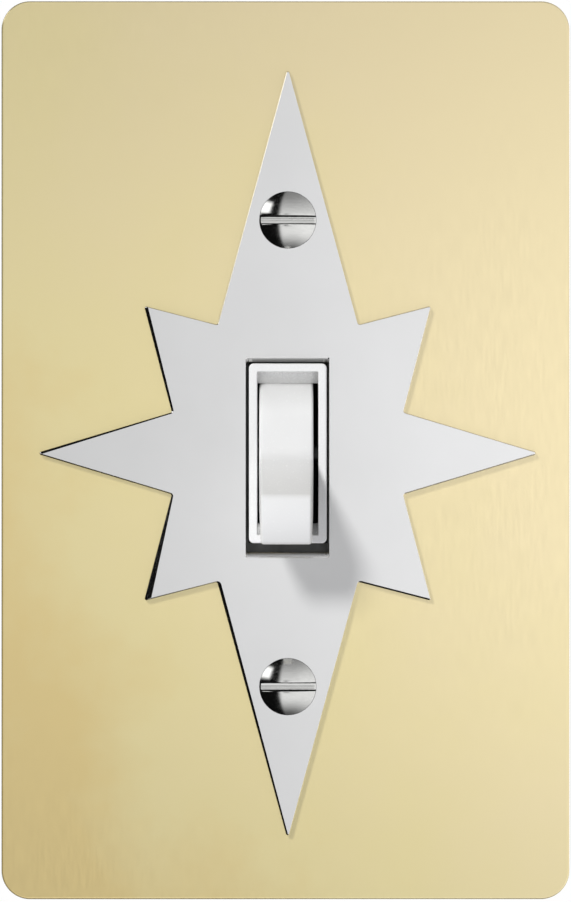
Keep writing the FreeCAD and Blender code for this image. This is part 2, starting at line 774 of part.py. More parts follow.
def make_common_terminal():
    """Strip on the cavity floor with two ears for the pin, folded out to the upper screw."""
    base_front = floor_y - strip_thickness
    solid = side_terminal(1, floor_y)
    base_low = (-strip_width / 2, base_front, -bracket_ear_radius)
    solid = solid.fuse(block_between(base_low, (strip_width / 2, floor_y, blade_z())))
    inner = rocker_width / 2 + bracket_ear_gap
    for x in (-inner - strip_thickness, inner):
        ear = rod(bracket_ear_radius, V(x, rocker_y, 0), strip_thickness, RIGHT)
        foot_low = (x, rocker_y, -bracket_ear_radius)
        foot = block_between(foot_low, (x + strip_thickness, floor_y, bracket_ear_radius))
        solid = solid.fuse(ear.fuse(foot))
    sole_low = (-inner - strip_thickness, base_front, -bracket_ear_radius)
    sole_high = (inner + strip_thickness, floor_y, bracket_ear_radius)
    solid = solid.fuse(block_between(sole_low, sole_high))
    hole_start = ROCKER_PIVOT - RIGHT * rocker_width
    solid = solid.cut(rod(pin_radius + pin_seat_clearance, hole_start, 2 * rocker_width, RIGHT))
    return solid.removeSplitter()


def load_floor():
    """Top of the step that the load terminal lies on."""
    return floor_y - step_height


def make_load_terminal():
    """Strip on the cavity's step under the moving contact, folded out to the lower screw."""
    floor = load_floor()
    solid = side_terminal(-1, floor)
    low = (-strip_width / 2, floor - strip_thickness, -blade_z())
    high = (strip_width / 2, floor, -blade_z() + step_inset - 1)
    solid = solid.fuse(block_between(low, high))
    place = contact_top(-1, contact_offset, contact_height)
    hole = rod(contact_rivet + contact_seat, V(0, floor - strip_thickness - 1, place.z), 4.0, INWARD)
    return solid.cut(hole).removeSplitter()


def make_fixed_contact():
    """Silver contact riveted to the load terminal, just short of the moving contact at ON."""
    floor = load_floor()
    seat_y = floor - strip_thickness
    place = contact_top(-1, contact_offset, contact_height)
    lean = (contact_radius - contact_bevel) * math.sin(math.radians(rocker_swing))
    height = seat_y - place.y - lean - contact_gap
    seat = V(0, seat_y, place.z)
    profile = [(contact_rivet, -strip_thickness), (contact_rivet, 0.0)] + contact_points(height)
    return faceted(profile, seat, OUTWARD)


def make_bumper_pad():
    """Rubber stop behind the upper arm, with its face slanted to meet the arm at OFF."""
    base_y = floor_y - strip_thickness
    half = contact_radius + 0.4
    slope = math.tan(math.radians(rocker_swing))
    place = contact_top(1, contact_offset, contact_gap)
    low = place.z - half
    high = place.z + half
    profile = [(base_y, low), (place.y - half * slope, low), (place.y + half * slope, high), (base_y, high)]
    return prism(profile, -strip_width / 2, strip_width / 2)


def make_terminal_screws():
    """Two binding-head screws that face out of the housing's side."""
    screws = []
    for side in (1, -1):
        seat = V(terminal_x + terminal_plate, terminal_screw_depth, side * terminal_middle())
        head = pan_head(terminal_screw_head_radius, terminal_screw_head_height, seat, RIGHT)
        screw = head.fuse(rod(terminal_screw_radius, seat, terminal_screw_length, -RIGHT))
        top = seat + RIGHT * terminal_screw_head_height
        slot_depth = terminal_screw_head_height / 2
        screws.append(driver_slot(screw, top, RIGHT, terminal_screw_head_radius, screw_slot_width, slot_depth))
    return Part.makeCompound(screws)


PIECES = {
    "brass_plate": make_brass_plate,
    "star_overlay": make_star_overlay,
    "plate_screws": make_plate_screws,
    "mounting_strap": make_mounting_strap,
    "ground_screw": make_ground_screw,
    "box_screws": make_box_screws,
    "screw_retainers": make_screw_retainers,
    "body_rivets": make_body_rivets,
    "front_moulding": make_front_moulding,
    "back_body": make_back_body,
    "dolly": make_dolly,
    "plunger": make_plunger,
    "plunger_spring": make_plunger_spring,
    "rocker_contact": make_rocker_contact,
    "moving_contact": make_moving_contact,
    "rocker_pin": make_rocker_pin,
    "common_terminal": make_common_terminal,
    "load_terminal": make_load_terminal,
    "fixed_contact": make_fixed_contact,
    "bumper_pad": make_bumper_pad,
    "terminal_screws": make_terminal_screws,
}

os.makedirs("parts", exist_ok=True)
for name, make in PIECES.items():
    make().exportStep("parts/" + name + ".step")
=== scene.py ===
import bmesh
import bpy
import math
import mathutils
import numpy as np
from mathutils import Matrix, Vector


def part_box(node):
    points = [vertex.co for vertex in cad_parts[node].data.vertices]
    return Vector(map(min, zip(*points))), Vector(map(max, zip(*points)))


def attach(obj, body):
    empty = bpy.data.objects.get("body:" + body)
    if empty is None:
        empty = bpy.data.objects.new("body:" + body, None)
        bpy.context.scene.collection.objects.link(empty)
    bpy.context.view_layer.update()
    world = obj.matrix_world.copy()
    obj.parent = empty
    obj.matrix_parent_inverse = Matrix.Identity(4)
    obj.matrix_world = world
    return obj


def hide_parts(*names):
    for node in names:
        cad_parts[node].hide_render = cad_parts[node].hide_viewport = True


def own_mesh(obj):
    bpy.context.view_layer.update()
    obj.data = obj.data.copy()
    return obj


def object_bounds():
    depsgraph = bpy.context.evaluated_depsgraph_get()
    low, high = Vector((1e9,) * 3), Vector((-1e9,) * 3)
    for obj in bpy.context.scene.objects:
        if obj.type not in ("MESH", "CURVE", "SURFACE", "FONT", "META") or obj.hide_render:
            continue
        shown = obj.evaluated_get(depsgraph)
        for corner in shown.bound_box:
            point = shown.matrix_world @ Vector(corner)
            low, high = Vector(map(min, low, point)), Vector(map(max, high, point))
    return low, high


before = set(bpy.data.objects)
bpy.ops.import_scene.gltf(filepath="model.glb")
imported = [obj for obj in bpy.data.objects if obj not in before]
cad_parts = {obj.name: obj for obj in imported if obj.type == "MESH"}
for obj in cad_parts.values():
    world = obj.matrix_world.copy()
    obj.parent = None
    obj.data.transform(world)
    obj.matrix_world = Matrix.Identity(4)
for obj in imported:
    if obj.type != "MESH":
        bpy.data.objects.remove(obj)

start_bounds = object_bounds()

# Camera. The photo was taken square-on from about 0.7 m, and it is cropped to the plate's edges.
# Lengths are in mm, here and in every section, unless a name or a comment says otherwise.

MM = 0.001
CAMERA_DISTANCE = 705.0
FRAME_WIDTH = 73.88
VIEW_MIDDLE = (-0.3, 0.3)
SENSOR = 36


def place_camera():
    """Camera square to the plate, framed so that the plate's face shows FRAME_WIDTH mm."""
    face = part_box("brass_plate")[0][1] / MM
    data = bpy.data.cameras.new("camera")
    data.sensor_fit = "HORIZONTAL"
    data.sensor_width = SENSOR
    data.lens = SENSOR * (CAMERA_DISTANCE + face) / FRAME_WIDTH
    data.clip_start = 50 * MM
    camera = bpy.data.objects.new("camera", data)
    camera.location = (VIEW_MIDDLE[0] * MM, -CAMERA_DISTANCE * MM, VIEW_MIDDLE[1] * MM)
    camera.rotation_euler = (math.pi / 2, 0, 0)
    bpy.context.scene.collection.objects.link(camera)
    bpy.context.scene.camera = camera
    bpy.context.scene.view_settings.view_transform = "Standard"


place_camera()


# Light. A soft key light stands above left, in a room that is bright behind the camera and dark on the
# left. A faint round card beside the camera lifts the reflections, and the floor is white paper.

KEY_FROM = (-0.56, -1.0, 0.72)
KEY_STRENGTH = 2.38
KEY_WIDTH = math.radians(12)
CARD = (72, -60, 0)
CARD_RADIUS = 78.0
CARD_CORNERS = 48
CARD_GLOW = 0.1
FLOOR_REACH = 900.0


def colour(hex_code, share=1.0):
    """sRGB hex code as linear RGBA, its red, green and blue multiplied by share."""
    levels = [int(hex_code[i:i + 2], 16) / 255 for i in (0, 2, 4)]
    linear = [v / 12.92 if v <= 0.04045 else ((v + 0.055) / 1.055) ** 2.4 for v in levels]
    return [v * share for v in linear] + [1.0]


def add(tree, kind, inputs=None, stops=(), **settings):
    """Adds a node and returns its outputs.

    inputs gives its sockets, by name or number, a value or a socket that feeds them. settings are its
    properties, and stops the (position, linear RGBA) pairs of a colour ramp.
    """
    node = tree.nodes.new("ShaderNode" + kind)
    for name, value in settings.items():
        setattr(node, name, value)
    for name, value in (inputs or {}).items():
        if isinstance(value, bpy.types.NodeSocket):
            tree.links.new(value, node.inputs[name])
        else:
            node.inputs[name].default_value = value
    if stops:
        elements = node.color_ramp.elements
        while len(elements) < len(stops):
            elements.new(0.5)
        for element, (position, value) in zip(elements, stops):
            element.position = position
            element.color = value
    return node.outputs


def weighted(tree, base, *terms):
    """The base plus, for each (quantity, weight), quantity times weight."""
    for quantity, weight in terms:
        base = add(tree, "Math", {0: quantity, 1: weight, 2: base}, operation="MULTIPLY_ADD")[0]
    return base


def within(tree, *rises):
    """Product of smooth rises, each given as (quantity, where it is still 0, where it is 1)."""
    share = 1.0
    for quantity, none, full in rises:
        limits = {"Value": quantity, "From Min": none, "From Max": full}
        rise = add(tree, "MapRange", limits, interpolation_type="SMOOTHSTEP")[0]
        share = add(tree, "Math", {0: share, 1: rise}, operation="MULTIPLY")[0]
    return share


def material(name, **values):
    """Material with a Principled shader: returns it, its tree, the shader and the object position in mm."""
    made = bpy.data.materials.new(name)
    made.use_nodes = True
    tree = made.node_tree
    shader = tree.nodes["Principled BSDF"]
    for key, value in values.items():
        shader.inputs[key.replace("_", " ")].default_value = value
    place = add(tree, "TexCoord")["Object"]
    scaled = add(tree, "VectorMath", {0: place, 1: [1 / MM] * 3}, operation="MULTIPLY")
    return made, tree, shader, scaled[0]


def mottle(tree, place, size, detail=2.0, stretch=(1, 1, 1)):
    """Uneven pattern from 0 to 1, its features about size mm across and stretched along the axes given."""
    scale = [1 / (size * s) for s in stretch]
    scaled = add(tree, "VectorMath", {0: place, 1: scale}, operation="MULTIPLY")[0]
    return add(tree, "TexNoise", {"Vector": scaled, "Scale": 1.0, "Detail": detail})["Fac"]


def dress(tree, shader, tint=None, dull=None, relief=()):
    """Gives a finish its colour, its gloss and its relief, each from a pattern between 0 and 1.

    tint is (pattern, colour stops), and dull is (pattern, two of its values, the roughness at each).
    Each item of relief is (pattern, depth in mm), and lifts the surface by pattern times depth.
    """
    if tint:
        shade = add(tree, "ValToRGB", {"Fac": tint[0]}, tint[1])[0]
        tree.links.new(shade, shader.inputs["Base Color"])
    if dull:
        limits = dict(zip(("Value", "From Min", "From Max", "To Min", "To Max"), dull))
        tree.links.new(add(tree, "MapRange", limits)[0], shader.inputs["Roughness"])
    for pattern, depth in relief:
        inputs = {"Height": pattern, "Distance": depth * MM, "Strength": 1.0}
        for below in shader.inputs["Normal"].links:
            inputs["Normal"] = below.from_socket
        tree.links.new(add(tree, "Bump", inputs)[0], shader.inputs["Normal"])


def add_object(name, mesh, finish, angle=35, curved=None):
    """Object for a mesh: edges past angle degrees are sharp, and faces after the first curved are flat."""
    mesh.set_sharp_from_angle(angle=math.radians(angle))
    if curved is not None:
        mesh.polygons.foreach_set("use_smooth", np.arange(len(mesh.polygons)) < curved)
    mesh.materials.append(finish)
    made = bpy.data.objects.new(name, mesh)
    bpy.context.scene.collection.objects.link(made)
    return made


def draft(name, points, faces):
    """Mesh from points in mm and faces that name them by number."""
    mesh = bpy.data.meshes.new(name)
    mesh.from_pydata((np.asarray(points) * MM).tolist(), [], faces)
    return mesh


def shine_key():
    """The key light: far off, and seen in no reflection."""
    data = bpy.data.lights.new("key", "SUN")
    data.energy = KEY_STRENGTH
    data.angle = KEY_WIDTH
    lamp = bpy.data.objects.new("key", data)
    lamp.rotation_euler = mathutils.Vector(KEY_FROM).to_track_quat("Z", "Y").to_euler()
    lamp.visible_glossy = False
    bpy.context.scene.collection.objects.link(lamp)


def light_room():
    """World: white to the camera, stronger from below to matt surfaces, and a studio to mirrors.

    The studio depends on the ray's azimuth u (right of straight back is positive) and its elevation v,
    both in degrees: what a surface facing the camera reflects lies round u = 0.
    """
    world = bpy.data.worlds.new("studio")
    world.use_nodes = True
    bpy.context.scene.world = world
    tree = world.node_tree
    tree.nodes.clear()
    ray = add(tree, "SeparateXYZ", {"Vector": add(tree, "TexCoord")["Generated"]})
    back = add(tree, "Math", {0: ray["Y"], 1: -1.0}, operation="MULTIPLY")[0]
    turn = add(tree, "Math", {0: ray["X"], 1: back}, operation="ARCTAN2")[0]
    climb = add(tree, "Math", {0: ray["Z"]}, operation="ARCSINE")[0]
    u, v = (add(tree, "Math", {0: angle}, operation="DEGREES")[0] for angle in (turn, climb))

    # what the flat faces reflect, straight back: a share of white from each of (quantity, two of its
    # values, the share at each). It is brighter to the right, and dimmer at the top, the bottom and
    # most of all the lower left
    shares = ((u, -3.2, 3.2, 0.68, 1.26), (v, -5.0, -1.5, 0.56, 1.0), (v, 5.0, 1.9, 0.52, 1.0),
              (u, 3.2, 2.1, 1.05, 1.0), (weighted(tree, v, (u, 0.6)), -6.5, -3.4, 0.64, 1.0))
    front = 1.0
    for share in shares:
        limits = dict(zip(("Value", "From Min", "From Max", "To Min", "To Max"), share))
        front = add(tree, "Math", {0: front, 1: add(tree, "MapRange", limits)[0]}, operation="MULTIPLY")[0]

    # each level is laid over the ones before it, within its rises: the room, dimmer towards the ceiling
    # and the floor, that front, a dark stretch on the left, and a white panel in it above eye level
    level = 0.30
    for value, rises in ((1.0, [(v, 74, -6)]),
                         (0.10, [(v, -25, -78)]),
                         (front, [(u, -15, -5), (u, 15, 5), (v, -17, -7), (v, 17, 7)]),
                         (0.005, [(u, -15, -27)]),
                         (1.7, [(u, -93, -83), (u, -43, -53), (v, 12, 22), (v, 47, 37)])):
        level = add(tree, "Mix", {0: within(tree, *rises), 2: level, 3: value}, data_type="FLOAT")[0]

    ambient = {0: weighted(tree, 0.42, (ray["Z"], -0.66)), 1: 0.02}
    dim = add(tree, "Math", ambient, operation="MAXIMUM")[0]
    mirror, soft, white = (
        add(tree, "Background", {"Color": colour(tone), "Strength": strength})[0]
        for tone, strength in (("ffffff", level), ("fafbff", dim), ("ffffff", 1.0)))
    path = add(tree, "LightPath")
    seen = {0: path["Is Glossy Ray"], 1: path["Is Transmission Ray"]}
    in_mirror = add(tree, "Math", seen, operation="MAXIMUM")[0]
    lit = add(tree, "MixShader", {0: in_mirror, 1: soft, 2: mirror})[0]
    whole = add(tree, "MixShader", {0: path["Is Camera Ray"], 1: lit, 2: white})[0]
    add(tree, "OutputWorld", {"Surface": whole})


def stand_card():
    """Round card that faces the switch, brightest in its middle and seen only in reflections."""
    glowing, tree, shader, place = material("card_light")
    away = add(tree, "VectorMath", {0: place, 1: CARD}, operation="DISTANCE")["Value"]
    glow = weighted(tree, 0.0, (within(tree, (away, CARD_RADIUS, 0.0)), CARD_GLOW))
    shine = add(tree, "Emission", {"Color": colour("ffffff"), "Strength": glow})[0]
    front = add(tree, "AddShader", {0: add(tree, "BsdfTransparent")[0], 1: shine})[0]
    tree.links.new(front, tree.nodes["Material Output"].inputs["Surface"])
    tree.nodes.remove(shader)
    side = mathutils.Vector((0, 0, 1)).cross(mathutils.Vector(CARD).normalized())
    angle = np.arange(CARD_CORNERS) * 2 * np.pi / CARD_CORNERS
    rim = np.outer(np.cos(angle), side) + np.outer(np.sin(angle), (0, 0, 1))
    disc = draft("reflector_card", CARD + rim * CARD_RADIUS, [range(CARD_CORNERS)])
    card = add_object("reflector_card", disc, glowing)
    card.visible_camera = False
    card.visible_diffuse = False
    card.visible_shadow = False
    card.visible_transmission = False


def lay_floor():
    """Paper under the plate's lower edge: white to the camera, and it takes the shadow."""
    paper, tree, shader, place = material("floor_paper", Base_Color=colour("b4b4b2"), Roughness=0.9)
    dress(tree, shader, relief=[(mottle(tree, place, 3.0), 0.05)])
    white = add(tree, "Emission", {"Color": colour("ffffff"), "Strength": 1.0})[0]
    seen = {0: add(tree, "LightPath")["Is Camera Ray"], 1: shader.outputs["BSDF"], 2: white}
    tree.links.new(add(tree, "MixShader", seen)[0], tree.nodes["Material Output"].inputs["Surface"])
    low = start_bounds[0][2] / MM
    corners = [(i * FLOOR_REACH, j * FLOOR_REACH, low) for i, j in ((-1, -1), (1, -1), (1, 1), (-1, 1))]
    floor = add_object("floor", draft("floor", corners, [range(4)]), paper)
    floor.visible_glossy = False
    floor.visible_diffuse = False


shine_key()
light_room()
stand_card()
lay_floor()


# Wall plate: cast brass, polished and lacquered, hollow behind, with a small round along its front edge.
# Two countersunk screws hold it to the strap, through the star.

PLATE = (73.5, 116.2)
PLATE_SHIFT = (-0.3, 0.4)
PLATE_FRONT = -5.6
PLATE_CORNER = 3.7
PLATE_EDGE = 0.24
PLATE_FACE = 2.0
PLATE_RIM = 4.0
HOLLOW_ROUND = 0.3
SCREW_Z = (30.15, -30.15)
SCREW_HOLE = 2.1
OPENING = (10.86, 25.3)
OPENING_PLACE = (-0.05, -0.2)
OPENING_CORNER = 0.3
HOLE_BREAK = 0.12


def grid_faces(rows, columns, closed=True, start=0):
    """Quads between rows of points that follow one another; closed joins the last column to the first."""
    across = columns if closed else columns - 1
    i, j = np.meshgrid(np.arange(rows - 1), np.arange(across), indexing="ij")
    following = (j + 1) % columns
    quads = np.stack([i * columns + j, i * columns + following,
                      (i + 1) * columns + following, (i + 1) * columns + j], axis=-1)
    return (quads.reshape(-1, 4) + start).tolist()


def rounded_polygon(corners, radius, steps):
    """Loop of points round a polygon with rounded corners, and the outward normal at each.

    corners run clockwise, as (across, up). At each corner an arc of the radius, one for all or one each,
    replaces the point: its centre lies on the inner bisector, radius / sin(half the corner angle) from it.
    The arc's normals turn from one side's to the next's, as a slerp by equal angles.
    """
    corners = np.asarray(corners, dtype=float)
    radius = np.broadcast_to(np.asarray(radius, dtype=float), len(corners))[:, None]
    before = np.roll(corners, 1, axis=0)
    after = np.roll(corners, -1, axis=0)
    into = (corners - before) / np.linalg.norm(corners - before, axis=1)[:, None]
    out = (after - corners) / np.linalg.norm(after - corners, axis=1)[:, None]
    start = np.stack([-into[:, 1], into[:, 0]], axis=1)
    end = np.stack([-out[:, 1], out[:, 0]], axis=1)
    turn = np.sign(into[:, 0] * out[:, 1] - into[:, 1] * out[:, 0])
    middle = start + end
    middle /= np.linalg.norm(middle, axis=1)[:, None]
    centre = corners + (turn / np.sum(middle * start, axis=1))[:, None] * middle * radius
    share = np.linspace(0, 1, steps)[None, :, None]
    angle = np.arccos(np.clip(np.sum(start * end, axis=1), -1, 1))[:, None, None]
    blend = np.sin((1 - share) * angle) * start[:, None] + np.sin(share * angle) * end[:, None]
    blend /= np.sin(angle)
    points = centre[:, None] - turn[:, None, None] * radius[:, None] * blend
    return points.reshape(-1, 2), blend.reshape(-1, 2)


def box_corners(width, height, middle=(0, 0)):
    """Corners of an upright rectangle, clockwise from its top left, as (x, z)."""
    x, z = width / 2, height / 2
    return [(middle[0] + i * x, middle[1] + j * z) for i, j in ((-1, 1), (1, 1), (1, -1), (-1, -1))]


def circle(radius, x, z, steps=96):
    """Loop of points round a circle and its outward normals."""
    angle = np.arange(steps) * 2 * np.pi / steps
    around = np.column_stack([np.sin(angle), np.cos(angle)])
    return around * radius + (x, z), around


def at_depth(loop, depth):
    """A loop of (x, z) points, laid in the plane y = depth."""
    return np.column_stack([loop[:, 0], np.full(len(loop), depth), loop[:, 1]])


def wall(loop, normals, section):
    """Rows of points for a wall that follows a loop; section gives (outward offset, depth) of each row."""
    return [at_depth(loop + normals * out, depth) for out, depth in section]


def edge_round(radius, front, steps=8):
    """Section of a quarter-round edge, from the side wall to the front face."""
    angle = np.linspace(0, np.pi / 2, steps)
    return [(-radius * (1 - math.cos(a)), front + radius * (1 - math.sin(a))) for a in angle]


def stacked(walls):
    """Points and faces of several walls, each a list of loops, and the numbers of its end loops' points."""
    faces, ends = [], []
    count = 0
    for rows in walls:
        size = len(rows[0])
        last = count + (len(rows) - 1) * size
        faces += grid_faces(len(rows), size, start=count)
        ends.append((list(range(count, count + size)), list(range(last, last + size))))
        count = last + size
    return np.concatenate([loop for rows in walls for loop in rows]), faces, ends


def closed_up(mesh, merge=None, fills=()):
    """Joins a mesh's points within merge mm, fills flat faces between rings, turns all faces outwards."""
    shell = bmesh.new()
    shell.from_mesh(mesh)
    shell.verts.ensure_lookup_table()
    for rings in fills:
        edges = [shell.edges.get((shell.verts[i], shell.verts[j]))
                 for ring in rings for i, j in zip(ring, ring[1:] + ring[:1])]
        bmesh.ops.triangle_fill(shell, use_beauty=True, use_dissolve=False, edges=edges)
    if merge:
        bmesh.ops.remove_doubles(shell, verts=shell.verts, dist=merge * MM)
    bmesh.ops.recalc_face_normals(shell, faces=shell.faces)
    shell.to_mesh(mesh)
    shell.free()
    return mesh


def walled(name, walls, flats, finish):
    """Closed piece from walls, each a list of loops, and flat faces between their ends.

    flats gives, for each flat face, the loops that bound it as (wall, 0 or -1), its first loop or last.
    """
    points, faces, ends = stacked(walls)
    fills = [[ends[number][end] for number, end in flat] for flat in flats]
    return add_object(name, closed_up(draft(name, points, faces), fills=fills), finish, curved=len(faces))


def fit_piece(made, node, body="housing"):
    """Makes a piece stand for its node, moving with its body."""
    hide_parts(node)
    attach(made, body)


def brass_finish():
    """Lacquered brass, metal and a glossy film over it, so it shines softly and shows no clear image.

    Its tone has a few brown stains and is painted palest at the upper right, as light falls there,
    and it has hairline polish marks, drawn 0.35 mm wide and 3 mm long, coarser than they are.
    """
    made, tree, shader, place = material("plate_brass", Metallic=0.6, Coat_Weight=1.0, Coat_IOR=1.9,
                                         Coat_Roughness=0.2)
    clouds = mottle(tree, place, 26.0, 3.0)
    across = add(tree, "SeparateXYZ", {"Vector": place})
    # painted light: the X and Z terms make the tone palest at the upper right; the clouds are its stains
    tone = weighted(tree, 0.26, (clouds, 0.42), (mottle(tree, place, 2.2, 4.0), 0.06),
                    (across["X"], 0.0050), (across["Z"], 0.0024))
    stops = [(0.22, colour("efd68e")), (0.36, colour("f4e4a5")), (0.66, colour("f5e3b0"))]
    marks = mottle(tree, place, 0.35, 3.0, (1, 1, 9))
    dress(tree, shader, (tone, stops), (marks, 0.35, 0.8, 0.14, 0.22), [(marks, 0.0006), (clouds, 0.02)])
    return made


def make_plate(finish):
    """Outer wall with its rounded front edge, hollow, opening and screw holes, and the faces between."""
    outer, outward = rounded_polygon(box_corners(*PLATE, PLATE_SHIFT), PLATE_CORNER, 24)
    hollow_size = [side - 2 * PLATE_RIM for side in PLATE]
    hollow, inward = rounded_polygon(box_corners(*hollow_size, PLATE_SHIFT), PLATE_CORNER / 2, 16)
    floor = PLATE_FRONT + PLATE_FACE
    walls = [wall(outer, outward, [(0, 0)] + edge_round(PLATE_EDGE, PLATE_FRONT)),
             wall(hollow, inward, [(0, 0), (0, floor + HOLLOW_ROUND), (-HOLLOW_ROUND, floor)])]
    holes = [rounded_polygon(box_corners(*OPENING, OPENING_PLACE), OPENING_CORNER, 6)]
    holes += [circle(SCREW_HOLE, 0, z) for z in SCREW_Z]
    through = [(HOLE_BREAK, PLATE_FRONT), (0, PLATE_FRONT + HOLE_BREAK), (0, floor)]
    walls += [wall(loop, normals, through) for loop, normals in holes]
    numbers = range(2, len(walls))
    front = [(0, -1)] + [(number, 0) for number in numbers]
    behind = [(1, -1)] + [(number, -1) for number in numbers]
    return walled("wall_plate", walls, [front, [(0, 0), (1, 0)], behind], finish)


fit_piece(make_plate(brass_finish()), "brass_plate")


# Star: cut from nickel-plated sheet with eight rays, its edges broken by polishing, laid on the plate.
# The plate screws pass through countersunk holes in its long rays.

STAR_FRONT = -6.6
STAR_TOP = 49.4
STAR_SIDE = 32.1
# between the upper ray's tip and the right one's: a notch, a short ray's tip and a notch, as (x, z)
STAR_QUARTER = [(9.12, 16.65), (18.6, 19.1), (15.0, 5.32)]
STAR_CORNER = 0.25
STAR_EDGE = 0.6
# hand polishing is uneven: the share of that edge which each side has at its start and at its end,
# clockwise from the upper ray's right
STAR_STARTS = [0.15, 0.2, 0.25, 0.2, 0.3, 0.25, 0.45, 0.2, 0.4, 0.25, 1.5, 0.3, 0.6, 0.5, 0.2, 0.3]
STAR_ENDS = [0.15, 0.2, 0.25, 0.2, 0.3, 0.25, 0.45, 0.2, 0.75, 0.3, 0.4, 0.35, 0.3, 0.8, 0.2, 0.3]
# the metal dishes down into the opening by DISH. At the dish's foot the hole is smaller than OPENING by
# these amounts at each side and at the top, and below the hole the dish spreads over a share of its depth
DISH = 0.8
DISH_SIDE = 0.1
DISH_TOP = 0.65
DISH_BOTTOM = 0.9
HEAD_RADIUS = 3.65
HEAD_GAP = 0.04
HEAD_CONE = math.radians(41)


def star_corners():
    """Corners of the star clockwise from its top, with each tip's sharp point beyond its rounded end."""
    up = math.atan2(STAR_QUARTER[0][0], STAR_TOP - STAR_QUARTER[0][1])
    out = math.atan2(STAR_QUARTER[2][1], STAR_SIDE - STAR_QUARTER[2][0])
    top = STAR_TOP + STAR_CORNER / math.sin(up) - STAR_CORNER
    side = STAR_SIDE + STAR_CORNER / math.sin(out) - STAR_CORNER
    quarter = [(0, top)] + STAR_QUARTER + [(side, 0)]
    right = quarter + [(x, -z) for x, z in quarter[-2::-1]]
    return right + [(-x, z) for x, z in right[-2:0:-1]]


def nickel_finish():
    """Polished nickel plate: near white under a clear shine, with its tone painted slightly darker to the
    left as shade.

    Its face is hazy with fine buffing marks, drawn 0.3 mm wide and 4 mm long, while its edges and walls
    are bare metal: Metallic rises to 1 as a face turns away from the front.
    """
    made, tree, shader, place = material("star_nickel", Coat_Weight=1.0, Coat_IOR=2.6, Coat_Roughness=0.15)
    facing = add(tree, "SeparateXYZ", {"Vector": add(tree, "TexCoord")["Normal"]})["Y"]
    limits = {"Value": facing, "From Min": -0.998, "From Max": -0.965, "To Min": 0.06, "To Max": 1.0}
    tree.links.new(add(tree, "MapRange", limits)[0], shader.inputs["Metallic"])
    # painted shade: the tone falls steadily towards the left
    across = add(tree, "SeparateXYZ", {"Vector": place})["X"]
    tone = weighted(tree, 0.375, (mottle(tree, place, 14.0, 3.0), 0.25), (across, 0.0092))
    stops = [(0.15, colour("c6c6c5")), (0.85, colour("ebebeb"))]
    marks = mottle(tree, place, 0.3, 3.0, (1, 1, 12))
    dress(tree, shader, (tone, stops), (marks, 0.35, 0.8, 0.12, 0.19), [(marks, 0.0005)])
    return made


def inset_loop(corners, radius, out, starts, ends, steps):
    """Rounded polygon whose sides are moved outward by out times their shares at start and end.

    Where two sides with normals n and m meet they move the corner by a n + b m, with a + b (n.m) and
    a (n.m) + b equal to their two moves. The radius grows by out where the corner points outward and
    falls by it where it points inward, and is never less than 0.02.
    """
    corners = np.asarray(corners, dtype=float)
    into = corners - np.roll(corners, 1, axis=0)
    into /= np.linalg.norm(into, axis=1)[:, None]
    away = np.roll(into, -1, axis=0)
    n = np.stack([-into[:, 1], into[:, 0]], axis=1)
    m = np.stack([-away[:, 1], away[:, 0]], axis=1)
    near = out * np.roll(ends, 1)
    far = out * np.asarray(starts)
    both = np.sum(n * m, axis=1)
    a = (near - both * far) / (1 - both ** 2)
    b = (far - both * near) / (1 - both ** 2)
    turn = into[:, 0] * away[:, 1] - into[:, 1] * away[:, 0]
    radii = np.maximum(radius - np.sign(turn) * (near + far) / 2, 0.02)
    return rounded_polygon(corners + n * a[:, None] + m * b[:, None], radii, steps)[0]


def opening_loop(side, above, below):
    """The opening's outline with its sides, its top and its bottom moved out by these amounts."""
    middle = (OPENING_PLACE[0], OPENING_PLACE[1] + (above - below) / 2)
    corners = box_corners(OPENING[0] + 2 * side, OPENING[1] + above + below, middle)
    return rounded_polygon(corners, OPENING_CORNER, 6)[0]


def broken_edge(reach, front):
    """Section of a hand-broken edge: rounded at the side wall, then a long flat slope into the face."""
    share = [(0, 0.50), (-0.015, 0.42), (-0.06, 0.35), (-0.15, 0.30), (-0.4, 0.205), (-0.6, 0.129),
             (-0.82, 0.045), (-0.9, 0.018), (-0.96, 0.004), (-1.0, 0.0)]
    return [(reach * out, front + reach * deep) for out, deep in share]


def make_star(finish):
    """The star with its broken edges, the dished opening for the bezel and the two countersinks."""
    section = [(0, PLATE_FRONT)] + broken_edge(STAR_EDGE, STAR_FRONT)
    corners = star_corners()
    rays = [at_depth(inset_loop(corners, STAR_CORNER, out, STAR_STARTS, STAR_ENDS, 9), depth)
            for out, depth in section]
    dish = [at_depth(opening_loop(-DISH_SIDE, -DISH_TOP, 0), PLATE_FRONT)]
    for out, depth in edge_round(DISH, STAR_FRONT):
        loop = opening_loop(-DISH_SIDE * (1 + out), -DISH_TOP - out, -DISH_BOTTOM * out)
        dish.append(at_depth(loop, depth))
    rim = HEAD_RADIUS + HEAD_GAP
    foot = rim - (PLATE_FRONT - STAR_FRONT) * math.tan(HEAD_CONE)
    sinks = [[at_depth(circle(radius, 0, z)[0], depth)
              for radius, depth in ((foot, PLATE_FRONT), (rim, STAR_FRONT))] for z in SCREW_Z]
    walls = [rays, dish] + sinks
    flats = [[(number, end) for number in range(len(walls))] for end in (0, -1)]
    return walled("star", walls, flats, finish)


fit_piece(make_star(nickel_finish()), "star_overlay")


# Screws: turned steel, nickel plated and polished, with a domed slotted head, a cone beneath it
# that sits in the star's countersink, and a rolled thread.

HEAD_DOME = 1.25
SLOT_HALF = 0.5
SLOT_DEPTH = 1.15
# the thread of these and of the longer screws: its outer radius, its pitch and its depth
THREAD_RADIUS = 1.75
PITCH = 0.794
THREAD_DEPTH = 0.42
# where the shank of the plate screws ends, from the head's rim
SHANK_END = 10.6


